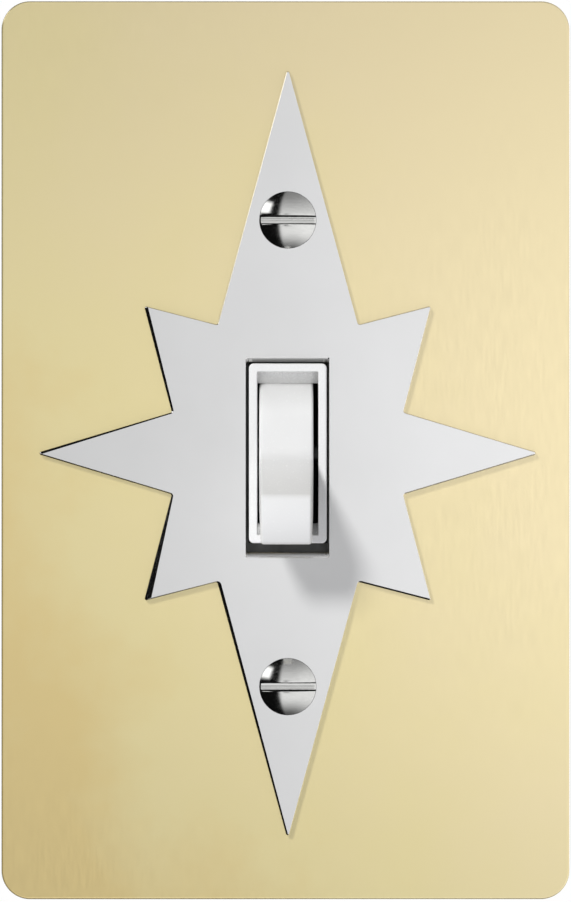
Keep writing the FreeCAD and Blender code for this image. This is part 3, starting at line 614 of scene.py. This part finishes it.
def slotted_dome(radius, height, slot_half, slot_depth):
    """Grid of points (row, column, 3) for a slotted dome with its rim in the plane of zero depth.

    Rows lie across the slot at heights z, and each spans the chord there: x = t sqrt(radius^2 - z^2).
    The dome's height is sqrt(S^2 - x^2 - z^2) - (S - height), S being its sphere's radius. In the slot
    it is held down to the floor, and the two lips are rounded by lowering the rows beside them.
    """
    sphere = (radius ** 2 + height ** 2) / (2 * height)
    floor = height - slot_depth
    beyond = radius * np.sin(np.linspace(math.asin((slot_half + 0.14) / radius), math.pi / 2, 22))
    # each row: its place across the slot, how far it is lifted off the floor or lowered from the dome,
    # and whether it is part of the dome
    upper = [(slot_half - 0.10, 0.0, False), (slot_half - 0.03, 0.03, False), (slot_half, 0.10, False)]
    upper += [(slot_half, 0.13, True), (slot_half + 0.035, 0.05, True), (slot_half + 0.09, 0.012, True)]
    upper += [(z, 0.0, True) for z in beyond]
    rows = [(-z, lift, domed) for z, lift, domed in upper[::-1]] + [(0.0, 0.0, False)] + upper
    z, lift, domed = (np.array(column)[:, None] for column in zip(*rows))
    t = np.sin(np.linspace(-np.pi / 2, np.pi / 2, 61))[None, :]
    x = t * np.sqrt(np.maximum(radius ** 2 - z ** 2, 0))
    dome = np.maximum(np.sqrt(sphere ** 2 - x ** 2 - z ** 2) - (sphere - height), 0)
    low = np.minimum(dome, floor + lift)
    rise = np.where(domed, np.maximum(dome - lift, np.minimum(dome, floor + 0.05)), low)
    return np.stack([x, -rise, np.broadcast_to(z, x.shape)], axis=-1)


def shank_rows(rim, profile, depth, start, end):
    """Loops below the rim: the profile of (radius, distance) first, then a thread from start to end.

    Round the thread the radius falls by its depth times a triangle wave of (distance / pitch - angle /
    turn), which fades in over the first turn and out over the last half of one.
    """
    angle = np.arctan2(rim[:, 2], rim[:, 0])
    around = np.column_stack([np.cos(angle), np.zeros(len(rim)), np.sin(angle)])
    rows = [around * r + (0, y, 0) for r, y in profile]
    major = profile[-1][0]
    for y in np.linspace(start, end, max(2, int((end - start) / PITCH * 6))):
        phase = (y / PITCH - angle / (2 * np.pi)) % 1.0
        fade = min(1.0, (y - start) / PITCH, (end - y) / PITCH * 2 + 0.2)
        groove = depth * fade * np.abs(2 * phase - 1)
        rows.append(around * (major - groove)[:, None] + (0, y, 0))
    rows.append(around * (major - depth) + (0, end, 0))
    return rows


def make_screw(name, head, profile, thread, finish, place, turn=None):
    """One screw as a closed mesh: the head's grid, the loops below its rim and a flat end.

    head is (radius, dome, half the slot, its depth), profile the (radius, distance) points under it,
    thread its (depth, start, end), and turn a matrix for a screw that doesn't face the front.
    """
    grid = slotted_dome(*head)
    rows, columns = grid.shape[:2]
    cells = np.array(grid_faces(rows, columns, closed=False))[:, ::-1]
    rim = np.concatenate([grid[:, -1][::-1], grid[1:-1, 0]])
    loops = [rim] + shank_rows(rim, profile, *thread)
    skirt = grid_faces(len(loops), len(rim), start=rows * columns)
    last = rows * columns + (len(loops) - 1) * len(rim)
    points = np.concatenate([grid.reshape(-1, 3)] + loops)
    if turn is not None:
        points = points @ np.array(turn).T
    mesh = draft(name, points + place, cells.tolist() + skirt + [range(last, last + len(rim))])
    return add_object(name, closed_up(mesh, 0.0005), finish, 40)


def painted_shade(tree, *layers):
    """How deep the painted shade is at a spot, from 0 to 1: the largest of its layers, each (strength, rise,
    rise and so on).
    """
    most = 0.0
    for strength, *rises in layers:
        shade_amount = add(tree, "Math", {0: within(tree, *rises), 1: strength}, operation="MULTIPLY")[0]
        most = add(tree, "Math", {0: most, 1: shade_amount}, operation="MAXIMUM")[0]
    return most


def screw_finish():
    """Polished nickel on steel: a mirror, with marks 0.25 mm wide, and painted shade in the slot.

    The shade is painted along the foot of the slot's walls, thin on the bezel's side and wider on the other.
    """
    made, tree, shader, place = material("screw_nickel", Metallic=1.0)
    marks = mottle(tree, place, 0.25, 3.0, (5, 1, 1))
    stops = [(0.3, colour("dededc", 0.93)), (0.7, colour("dededc"))]
    dress(tree, shader, (marks, stops), (marks, 0.35, 0.8, 0.12, 0.20), [(marks, 0.001)])
    # painted shade: the base colour goes near black in bands along the foot of the slot's walls
    height = add(tree, "SeparateXYZ", {"Vector": place})["Z"]
    away = add(tree, "Math", {0: height}, operation="ABSOLUTE")[0]
    along = weighted(tree, -SCREW_Z[0] - 0.04, (away, 1.0), (mottle(tree, place, 0.6), 0.08))
    shade_amount = painted_shade(tree, (1.0, (along, 0.32, 0.40), (along, 0.60, 0.54)),
                 (0.9, (along, -0.62, -0.56), (along, -0.40, -0.46)))
    unshaded = shader.inputs["Base Color"].links[0].from_socket
    mixed = add(tree, "Mix", {0: shade_amount, 6: unshaded, 7: colour("0a0a0a")}, data_type="RGBA")[2]
    tree.links.new(mixed, shader.inputs["Base Color"])
    return made


def make_plate_screws(finish):
    """The two screws through the star into the strap."""
    cone = (HEAD_RADIUS - THREAD_RADIUS) / math.tan(HEAD_CONE)
    profile = [(HEAD_RADIUS - 0.03, 0.04), (THREAD_RADIUS + 0.03, cone), (THREAD_RADIUS, cone + 0.15)]
    head = (HEAD_RADIUS, HEAD_DOME, SLOT_HALF, SLOT_DEPTH)
    thread = (THREAD_DEPTH, cone + 0.3, SHANK_END)
    for number, z in enumerate(SCREW_Z):
        name = "plate_screw_%d" % (number + 1)
        made = make_screw(name, head, profile, thread, finish, (0, STAR_FRONT, z))
        fit_piece(made, "plate_screws")


make_plate_screws(screw_finish())


# Front moulding: white glossy thermoset with a bezel that stands out through the star, its slot's ends
# sloping in to the drum. Its flange closes the housing.

BEZEL = (10.04, 23.2, 0.62)
BEZEL_FRONT = -7.4
BEZEL_ROUND = 0.22
BEZEL_LAND = 0.25
BEZEL_FOOT = 0.3
SLOT = (7.9, 21.1, 0.12)
SLOT_ROUND = 0.14
SLOT_LIP = -2.9
LIP_STEP = 0.3
FLANGE = (31.0, 55.0, 2.0)
FLANGE_FRONT = -0.1
FLANGE_BACK = 2.5
FLANGE_BREAK = 0.2
PIVOT_Y = 2.5
DRUM_ROOM = 10.7


def plastic_finish(name, tone, gloss, grain, grain_depth):
    """Moulded plastic: smooth and glossy, with a faint unevenness of tone and long soft waves.

    Its grain is grain mm across and grain_depth mm high. Returns what material() does.
    """
    made, tree, shader, place = material(name, IOR=1.5)
    stops = [(0.3, colour(tone, 0.965)), (0.7, colour(tone))]
    fine = mottle(tree, place, grain, 3.0)
    waves = mottle(tree, place, 4.0, 1.0)
    dress(tree, shader, (mottle(tree, place, 9.0), stops), (fine, 0.3, 0.8, gloss, gloss + 0.1),
          [(fine, grain_depth), (waves, 0.01)])
    return made, tree, shader, place


def darkened(tree, shader, shade_amount, least):
    """Paints shade into the base colour: multiplies it by 1 where it is unshaded, down to least where
    shade_amount is 1.
    """
    colour_in = shader.inputs["Base Color"]
    unshaded = colour_in.links[0].from_socket
    share = weighted(tree, 1.0, (shade_amount, least - 1.0))
    mixed = add(tree, "VectorMath", {0: unshaded, "Scale": share}, operation="SCALE")[0]
    tree.links.new(mixed, colour_in)


def moulding_finish():
    """White thermoset, glossy in front, with painted shade where the moulding lies sunk behind its front.

    The shade is painted below the lip of the slot and down the sides that the star surrounds, least on the
    lower one.
    """
    made, tree, shader, place = plastic_finish("moulding_white", "f8f8f7", 0.22, 0.15, 0.0001)
    x, y, z = add(tree, "SeparateXYZ", {"Vector": place})
    beside = add(tree, "Math", {0: x}, operation="ABSOLUTE")[0]
    side, end = BEZEL[0] / 2, BEZEL[1] / 2
    deep = (y, BEZEL_FRONT, BEZEL_FRONT + 1.2)
    # painted shade: near black down the bezel's sides and below the slot's lip, and a little all round
    # behind its front face
    shade_amount = painted_shade(tree, (0.65, (beside, side - 0.05, side - 0.01), deep),
                 (0.65, (z, end - 0.05, end - 0.01), deep),
                 (0.325, (z, 0.05 - end, 0.01 - end), deep),
                 (0.2, (y, BEZEL_FRONT + 0.05, BEZEL_FRONT + 0.6)),
                 (1.0, (y, SLOT_LIP - 0.2, SLOT_LIP + 0.4)))
    darkened(tree, shader, shade_amount, 0.06)
    return made


def frame_loop(size, y, grow=0.0, height=None):
    """Rounded rectangle of (width, height, corner) at a depth, grown outward all round."""
    width, tall, corner = size
    loop, normals = rounded_polygon(box_corners(width, height or tall), corner, 10)
    return at_depth(loop + normals * grow, y)


def make_bezel(finish):
    """One surface: round the flange, up the bezel, over its rim and down the slot to the drum's room."""
    rows = [frame_loop(FLANGE, FLANGE_BACK), frame_loop(FLANGE, FLANGE_FRONT + FLANGE_BREAK),
            frame_loop(FLANGE, FLANGE_FRONT, -FLANGE_BREAK), frame_loop(BEZEL, FLANGE_FRONT, BEZEL_FOOT),
            frame_loop(BEZEL, FLANGE_FRONT - 0.05, 0.05), frame_loop(BEZEL, FLANGE_FRONT - BEZEL_FOOT)]
    rows += [frame_loop(BEZEL, y, out) for out, y in edge_round(BEZEL_ROUND, BEZEL_FRONT)]
    rows += [frame_loop(BEZEL, BEZEL_FRONT, -BEZEL_LAND),
             frame_loop(SLOT, BEZEL_FRONT, SLOT_ROUND + 0.03)]
    rows += [frame_loop(SLOT, y, -out) for out, y in edge_round(SLOT_ROUND, BEZEL_FRONT)[::-1]]
    # behind its lip the slot is a chord of the drum's room at each depth
    room = [(y, 2 * math.sqrt(DRUM_ROOM ** 2 - (PIVOT_Y - y) ** 2)) for y in (SLOT_LIP, -1.0, 0.8, PIVOT_Y)]
    lip = room[0][1] - LIP_STEP
    rows += [frame_loop(SLOT, SLOT_LIP - 0.1, height=lip + 0.1), frame_loop(SLOT, SLOT_LIP, height=lip)]
    rows += [frame_loop(SLOT, y, height=tall) for y, tall in room]
    # the last loop joins the first, which closes the flange's back
    size = len(rows[0])
    faces = grid_faces(len(rows), size)
    last = (len(rows) - 1) * size
    faces += [[last + j, last + (j + 1) % size, (j + 1) % size, j] for j in range(size)]
    return add_object("bezel_moulding", draft("bezel_moulding", np.concatenate(rows), faces), finish, 32)


bezel = make_bezel(moulding_finish())
# the photo shows no shadow of the rim on the drum, so the bezel casts none
bezel.visible_shadow = False
fit_piece(bezel, "front_moulding")


# Dolly: white glossy moulding, a flat lever with a crowned end that grows out of a drum, with
# trunnions that turn in the mouldings and a leg behind for the plunger.

DOLLY_TILT = math.radians(22.4)
DOLLY_SIDE = -0.2
DOLLY_HALF = 3.5
DOLLY_TIP_HALF = 3.25
DOLLY_REACH = 23.1
DOLLY_EDGE = 0.42
DOLLY_CROWN = 10.0
CROWN_HALF_ANGLE = math.radians(15)
LEVER_TIP = 3.45
LEVER_ROOT = 3.62
LEVER_FILLET = 2.0
TIP_CORNER = 0.9
DRUM_RADIUS = 10.4
DRUM_END = math.radians(96)
DRUM_BACK = 2.0
TRUNNION = 1.5
TRUNNION_END = 6.3
TRUNNION_BREAK = 0.25
LEG = (6.0, 5.5)
LEG_CORNER = 0.5
LEG_ROOT = 1.0
LEG_TIP = 11.0
LEG_BREAK = 0.2
BORE = 1.65
BORE_END = 3.0


def dolly_profile():
    """Side outline as (y, z) from the pivot, before the tilt.

    Arcs are given by the corners where their end tangents meet: the crown, the drum, and the two fillets
    between the drum and the lever's sides.
    """
    crown = DOLLY_REACH - DOLLY_CROWN
    tip = crown + (DOLLY_CROWN - LEVER_TIP * math.sin(CROWN_HALF_ANGLE)) / math.cos(CROWN_HALF_ANGLE)
    lean = math.asin((LEVER_ROOT + LEVER_FILLET) / (DRUM_RADIUS + LEVER_FILLET))
    root = (DRUM_RADIUS - LEVER_ROOT * math.sin(lean)) / math.cos(lean)
    middle = (lean + DRUM_END) / 2
    far = DRUM_RADIUS / math.cos((DRUM_END - lean) / 2)
    back = (DRUM_RADIUS + DRUM_BACK * math.cos(DRUM_END)) / math.sin(DRUM_END)
    upper = [(-tip, LEVER_TIP, TIP_CORNER), (-root, LEVER_ROOT, LEVER_FILLET),
             (-far * math.cos(middle), far * math.sin(middle), DRUM_RADIUS), (DRUM_BACK, back, 0.3)]
    end = [(-crown - DOLLY_CROWN / math.cos(CROWN_HALF_ANGLE), 0.0, DOLLY_CROWN)]
    corners = np.array(end + upper + [(y, -z, r) for y, z, r in upper[::-1]])
    return rounded_polygon(corners[:, :2], corners[:, 2], 20)


def tilt(points):
    """Points given from the pivot, turned down to the resting place and moved to the pivot."""
    x, y, z = points[:, 0], points[:, 1], points[:, 2]
    c, s = math.cos(DOLLY_TILT), math.sin(DOLLY_TILT)
    return np.column_stack([x + DOLLY_SIDE, y * c - z * s + PIVOT_Y, y * s + z * c])


def prism_rows(loop, normals, section):
    """Loops of a form that runs along X: section gives (outward offset, x) of each."""
    return [np.column_stack([np.full(len(loop), x), loop + normals * out]) for out, x in section]


def two_rounds(half, edge, steps=7):
    """Section across a form of half width: a rounded edge at each side and the flat between."""
    angle = np.linspace(0, np.pi / 2, steps)
    left = [(-edge * (1 - math.sin(a)), -half + edge * (1 - math.cos(a))) for a in angle]
    return left + [(out, -x) for out, x in left[::-1]]


def capped(name, parts, finish):
    """Object from closed forms, each given as rows of loops whose first and last are filled flat."""
    points, faces, ends = stacked(parts)
    faces += [ring for first, last in ends for ring in (first[::-1], last)]
    return add_object(name, closed_up(draft(name, points, faces)), finish)


def make_dolly(finish):
    """Lever and drum, trunnions, and the leg with its bore as a tube that turns back on itself."""
    loop, normals = dolly_profile()
    lever = prism_rows(loop, normals, two_rounds(DOLLY_HALF, DOLLY_EDGE))
    share = np.clip((-loop[:, 0] - DRUM_RADIUS) / (DOLLY_REACH - DRUM_RADIUS), 0, 1)
    for row in lever:
        row[:, 0] *= 1 - share * (1 - DOLLY_TIP_HALF / DOLLY_HALF)
    half = [(-TRUNNION_BREAK, -TRUNNION_END), (0, TRUNNION_BREAK - TRUNNION_END)]
    trunnions = prism_rows(*circle(TRUNNION, 0, 0, 40), half + [(out, -x) for out, x in half[::-1]])
    leg, leg_normals = rounded_polygon(box_corners(*LEG), LEG_CORNER, 8)
    # the leg's loop starts where the bore's does, so that its tip closes without a twist
    order = np.argsort(np.arctan2(leg[:, 0], leg[:, 1]) % (2 * np.pi))
    leg, leg_normals = leg[order], leg_normals[order]
    bore, _ = circle(BORE, 0, 0, len(leg))
    tube = [at_depth(ring, y) for ring, y in (
        (leg, LEG_ROOT), (leg, LEG_TIP - LEG_BREAK), (leg - leg_normals * LEG_BREAK, LEG_TIP),
        (bore * 1.06, LEG_TIP), (bore, LEG_TIP - 0.1), (bore, BORE_END))]
    return capped("dolly_lever", [[tilt(row) for row in rows] for rows in (lever, trunnions, tube)], finish)


def lever_finish():
    """White thermoset: glossy in front, with painted shade: dark inside, towards the pivot, and a little
    darker on the drum's top.
    """
    made, tree, shader, place = plastic_finish("dolly_white", "f6f6f5", 0.20, 0.25, 0.0006)
    # painted shade: the base colour goes near black inside the drum's surface, towards the pivot
    flat = add(tree, "VectorMath", {0: place, 1: (0, 1, 1)}, operation="MULTIPLY")[0]
    away = add(tree, "VectorMath", {0: flat, 1: (0, PIVOT_Y, 0)}, operation="DISTANCE")["Value"]
    darkened(tree, shader, painted_shade(tree, (1.0, (away, DRUM_RADIUS - 1.4, DRUM_RADIUS - 2.6))), 0.06)
    # painted shade: the drum's top is painted darker, by a fifth, from 5 mm high to 8.5 mm
    height = add(tree, "SeparateXYZ", {"Vector": place})["Z"]
    darkened(tree, shader, painted_shade(tree, (1.0, (height, 5.0, 8.5))), 0.80)
    return made


fit_piece(make_dolly(lever_finish()), "dolly", "dolly")


# Strap: pressed steel with a dull zinc plating, with plaster ears, tapped holes and a ground tab bent
# back. It is held by the box screws, and the housing is riveted to its back.

STRAP_FRONT = -1.3


def softened(node, width, name, finish, segments=2):
    """Copy of a CAD node's mesh, its triangles joined into faces and its edges rounded by width mm."""
    shell = bmesh.new()
    shell.from_mesh(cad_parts[node].data)
    bmesh.ops.remove_doubles(shell, verts=shell.verts, dist=0.001 * MM)
    bmesh.ops.dissolve_limit(shell, angle_limit=math.radians(0.5), verts=shell.verts, edges=shell.edges)
    mesh = bpy.data.meshes.new(name)
    shell.to_mesh(mesh)
    shell.free()
    made = add_object(name, mesh, finish, 30)
    rounding = made.modifiers.new("rounding", "BEVEL")
    rounding.width = width * MM
    rounding.segments = segments
    rounding.limit_method = "ANGLE"
    rounding.angle_limit = math.radians(30)
    rounding.harden_normals = True
    return made


def metal_finish(name, tone, gloss, grain=0.4, depth=0.002, stretch=(1, 1, 6), shade=0.8):
    """Plated or plain metal: cloudy tone, marks stretched along its working direction, uneven gloss.

    The marks are grain mm wide and depth mm deep, and shade is the darkest tone's share of the lightest.
    """
    made, tree, shader, place = material(name, Metallic=1.0)
    marks = mottle(tree, place, grain, 3.0, stretch)
    cloudy = weighted(tree, 0.0, (mottle(tree, place, 5.0, 3.0), 0.6), (marks, 0.4))
    stops = [(0.35, colour(tone, shade)), (0.65, colour(tone))]
    dress(tree, shader, (cloudy, stops), (marks, 0.3, 0.75, gloss, gloss + 0.15), [(marks, depth)])
    return made


# old zinc plating: grey and dull, with faint marks from the press
zinc = metal_finish("zinc_dull", "7d7f80", 0.42, 0.6, 0.003, (1, 1, 3))
fit_piece(softened("mounting_strap", 0.16, "strap", zinc), "mounting_strap")


# Ground screw: steel with a hexagon head and a slot, turned and dyed green over its plating. It sits
# in the tapped hole of the strap's tab.

# dye over bright plating: a deep green that still shines like metal
green = metal_finish("green_dye", "2f8a4e", 0.28, 0.3, 0.001, (1, 1, 1), 0.6)
fit_piece(softened("ground_screw", 0.18, "ground_screw_head", green, 3), "ground_screw")


# Box screws: zinc-plated steel, pan heads with a slot, a thin neck in the strap's slot and a rolled
# thread. Square fibre washers on the necks keep them in the strap.

BOX_SCREW_Z = (41.65, -41.65)
PAN_RADIUS = 3.3
PAN_SLOT = 0.85
# the rim's height and the whole head's, the neck's radius and length, and where the thread runs from
# and to behind the rim
BOX_PAN = (0.55, 1.5)
NECK = (1.3, 2.7)
BOX_THREAD = (3.0, 25.2)


def make_box_screws(finish):
    """The two long screws, each head a low dome above a straight rim."""
    rim, tall = BOX_PAN
    radius, length = NECK
    profile = [(PAN_RADIUS, rim - 0.05), (PAN_RADIUS - 0.08, rim), (radius, rim), (radius, rim + length),
               (THREAD_RADIUS, rim + length + 0.2)]
    head = (PAN_RADIUS, tall - rim, SLOT_HALF, PAN_SLOT)
    thread = (THREAD_DEPTH, rim + BOX_THREAD[0], rim + BOX_THREAD[1])
    for number, z in enumerate(BOX_SCREW_Z):
        name = "box_screw_%d" % (number + 1)
        made = make_screw(name, head, profile, thread, finish, (0, STRAP_FRONT - rim, z))
        fit_piece(made, "box_screws")


# bright zinc: pale, bluish and fairly sharp in its reflections
make_box_screws(metal_finish("zinc_bright", "b4b8bd", 0.2, 0.3, 0.001, (5, 1, 1)))


def fibre_finish():
    """Pressed vulcanised fibre: brown and matt, with threads in it, drawn 0.25 mm wide and 1.5 long."""
    made, tree, shader, place = material("fibre_brown", Roughness=0.78, IOR=1.45)
    threads = mottle(tree, place, 0.25, 4.0, (6, 1, 1))
    stops = [(0.3, colour("4a2716")), (0.7, colour("7c4a30"))]
    dress(tree, shader, (threads, stops), relief=[(threads, 0.03)])
    return made


washers = softened("screw_retainers", 0.1, "fibre_washers", fibre_finish())
fit_piece(washers, "screw_retainers")


# Rivets: nickel-plated steel, with a low pan head at both ends. They are set from the strap's face to
# the back of the housing, and hold strap, front moulding and housing together.

RIVET_Z = (22.0, -22.0)
RIVET_RADIUS = 1.2
RIVET_BACK = 23.2
RIVET_HEAD = [(1.3, 0.8), (1.65, 0.74), (1.92, 0.6), (2.06, 0.4), (2.1, 0.2), (2.1, 0.0)]


def turned_rows(profile, z=0.0):
    """Loops round an axis that runs along Y, from (radius, y) points."""
    return [at_depth(circle(r, 0, z, 48)[0], y) for r, y in profile]


def make_rivets(finish):
    """Two rivets with pan heads at both ends."""
    profile = [(r, STRAP_FRONT - y) for r, y in RIVET_HEAD]
    profile += [(RIVET_RADIUS, STRAP_FRONT), (RIVET_RADIUS, RIVET_BACK)]
    profile += [(r, RIVET_BACK + y) for r, y in RIVET_HEAD[::-1]]
    return capped("rivets", [turned_rows(profile, z) for z in RIVET_Z], finish)


# worn nickel: warm grey, with soft reflections and no marks in one direction
rivet_nickel = metal_finish("rivet_nickel", "b9b8b3", 0.24, 0.3, 0.001, (1, 1, 1))
fit_piece(make_rivets(rivet_nickel), "body_rivets")


# Housing: black phenolic moulding behind the strap, with the cavity for the mechanism, slots for the
# terminal blades and recesses for the side screws.

# black phenolic: less glossy than the white mouldings
phenolic = plastic_finish("phenolic_black", "1f1f20", 0.34, 0.3, 0.004)[0]
fit_piece(softened("back_body", 0.3, "housing_shell", phenolic, 3), "back_body")


# Plunger and spring: a turned brass cup with a polished round nose slides in the dolly's leg, pushed
# out by a coil of spring wire that seats in the bore and in the cup.

CUP_RADIUS = 1.6
CUP_BORE = 1.15
CUP_RIM = 6.5
CUP_FLOOR = 12.0
NOSE_CENTRE = 12.4
COIL_RADIUS = 0.92
COIL_TURNS = 6
WIRE_RADIUS = 0.13
SPRING_START = 3.15
SPRING_LENGTH = 8.7


def make_plunger(finish):
    """The cup: from the bottom of its bore, out over the rim and round the nose."""
    lean = np.radians(np.linspace(0, 84, 12))
    profile = [(CUP_BORE, CUP_FLOOR), (CUP_BORE, CUP_RIM + 0.1), (CUP_BORE + 0.07, CUP_RIM),
               (CUP_RADIUS - 0.1, CUP_RIM), (CUP_RADIUS, CUP_RIM + 0.12)]
    profile += [(CUP_RADIUS * math.cos(a), NOSE_CENTRE + CUP_RADIUS * math.sin(a)) for a in lean]
    return capped("plunger_cup", [[tilt(row) for row in turned_rows(profile)]], finish)


def make_spring(finish):
    """The wire's round section moves round at the coil's radius as it climbs the spring's length.
    """
    whole = COIL_TURNS * 2 * np.pi
    turn = np.linspace(0, whole, 40 * COIL_TURNS + 1)[:, None]
    side = (np.arange(12) * np.pi / 6)[None, :]
    radius = COIL_RADIUS + WIRE_RADIUS * np.cos(side) + 0 * turn
    height = SPRING_START + SPRING_LENGTH * turn / whole + WIRE_RADIUS * np.sin(side)
    grid = np.stack([radius * np.cos(turn), height, radius * np.sin(turn)], axis=-1)
    made = capped("spring_coil", [[tilt(row) for row in grid]], finish)
    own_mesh(made)
    return made


# turned brass: yellow and bright, with rings round its axis
turned_brass = metal_finish("brass_turned", "c9a35a", 0.2, 0.2, 0.0008, (6, 1, 1))
# drawn steel wire: grey and shiny, with draw marks along it
wire = metal_finish("spring_wire", "a5a8ad", 0.22, 0.2, 0.0005, (1, 4, 1))
fit_piece(make_plunger(turned_brass), "plunger", "plunger")
fit_piece(make_spring(wire), "plunger_spring", "dolly")


# Contact strip: rolled copper alloy, dished where the plunger runs, with two lugs on a steel pin. A
# silver contact is riveted through its lower arm and meets one on the load terminal.

# rolled copper: red and cloudy, with marks along the strip
copper = metal_finish("copper_strip", "b9714a", 0.26, 0.3, 0.001, (1, 1, 7), 0.65)
# silver: white and softly bright
silver = metal_finish("contact_silver", "d9d7cf", 0.2, 0.25, 0.001, (1, 1, 1), 0.85)
# ground steel pin: grey and the smoothest of all
steel = metal_finish("pin_steel", "9a9da2", 0.16, 0.2, 0.0004, (7, 1, 1))
for node, width, name, finish, slot, body in (
        ("rocker_contact", 0.12, "contact_strip", copper, "contact_copper", "rocker"),
        ("moving_contact", 0.06, "strip_contact", silver, "contact_silver", "rocker"),
        ("fixed_contact", 0.06, "load_contact", silver, "contact_silver", "housing"),
        ("rocker_pin", 0.12, "pivot_pin", steel, "spring_steel", "housing")):
    fit_piece(softened(node, width, name, finish), node, body)


# Terminals: strips folded from rolled brass that lie on the cavity's floor and reach out to the side
# screws. A rubber pad on the upper one stops the contact strip.

# rolled brass: duller than the turned kind, with marks along the strip
rolled = metal_finish("brass_rolled", "c2a052", 0.3, 0.35, 0.0015, (1, 1, 8), 0.75)
fit_piece(softened("common_terminal", 0.12, "common_strip", rolled), "common_terminal")
fit_piece(softened("load_terminal", 0.12, "load_strip", rolled), "load_terminal")


def rubber_finish():
    """Matt black rubber with a coarse skin, its grains 0.3 mm across."""
    made, tree, shader, place = material("rubber_black", IOR=1.5)
    skin = mottle(tree, place, 0.3, 4.0)
    stops = [(0.3, colour("161616")), (0.7, colour("2b2b2b"))]
    dress(tree, shader, (skin, stops), (skin, 0.0, 1.0, 0.72, 0.95), [(skin, 0.02)])
    return made


fit_piece(softened("bumper_pad", 0.25, "rubber_stop", rubber_finish(), 3), "bumper_pad")


# Terminal screws: brass binding heads with a slot, that face out of the housing's side and clamp a
# wire against the terminal's plate.

SIDE_SCREW_PLACE = (13.3, 9.2)
SIDE_SCREW_Z = (17.3, -17.3)
SIDE_PAN = (0.9, 1.8)
SIDE_THREAD = (1.2, 6.4)
SIDE_THREAD_DEPTH = 0.4
SIDE_FACING = [[0, -1, 0], [1, 0, 0], [0, 0, 1]]


def make_terminal_screws(finish):
    """The two side screws, turned from the front to face right."""
    rim, tall = SIDE_PAN
    x, y = SIDE_SCREW_PLACE
    profile = [(PAN_RADIUS, rim - 0.06), (PAN_RADIUS - 0.06, rim), (1.95, rim), (1.9, rim + 0.05)]
    head = (PAN_RADIUS, tall - rim, SLOT_HALF, PAN_SLOT)
    thread = (SIDE_THREAD_DEPTH, rim + SIDE_THREAD[0], rim + SIDE_THREAD[1])
    for number, z in enumerate(SIDE_SCREW_Z):
        name = "side_screw_%d" % (number + 1)
        made = make_screw(name, head, profile, thread, finish, (x + rim, y, z), SIDE_FACING)
        fit_piece(made, "terminal_screws")


make_terminal_screws(turned_brass)
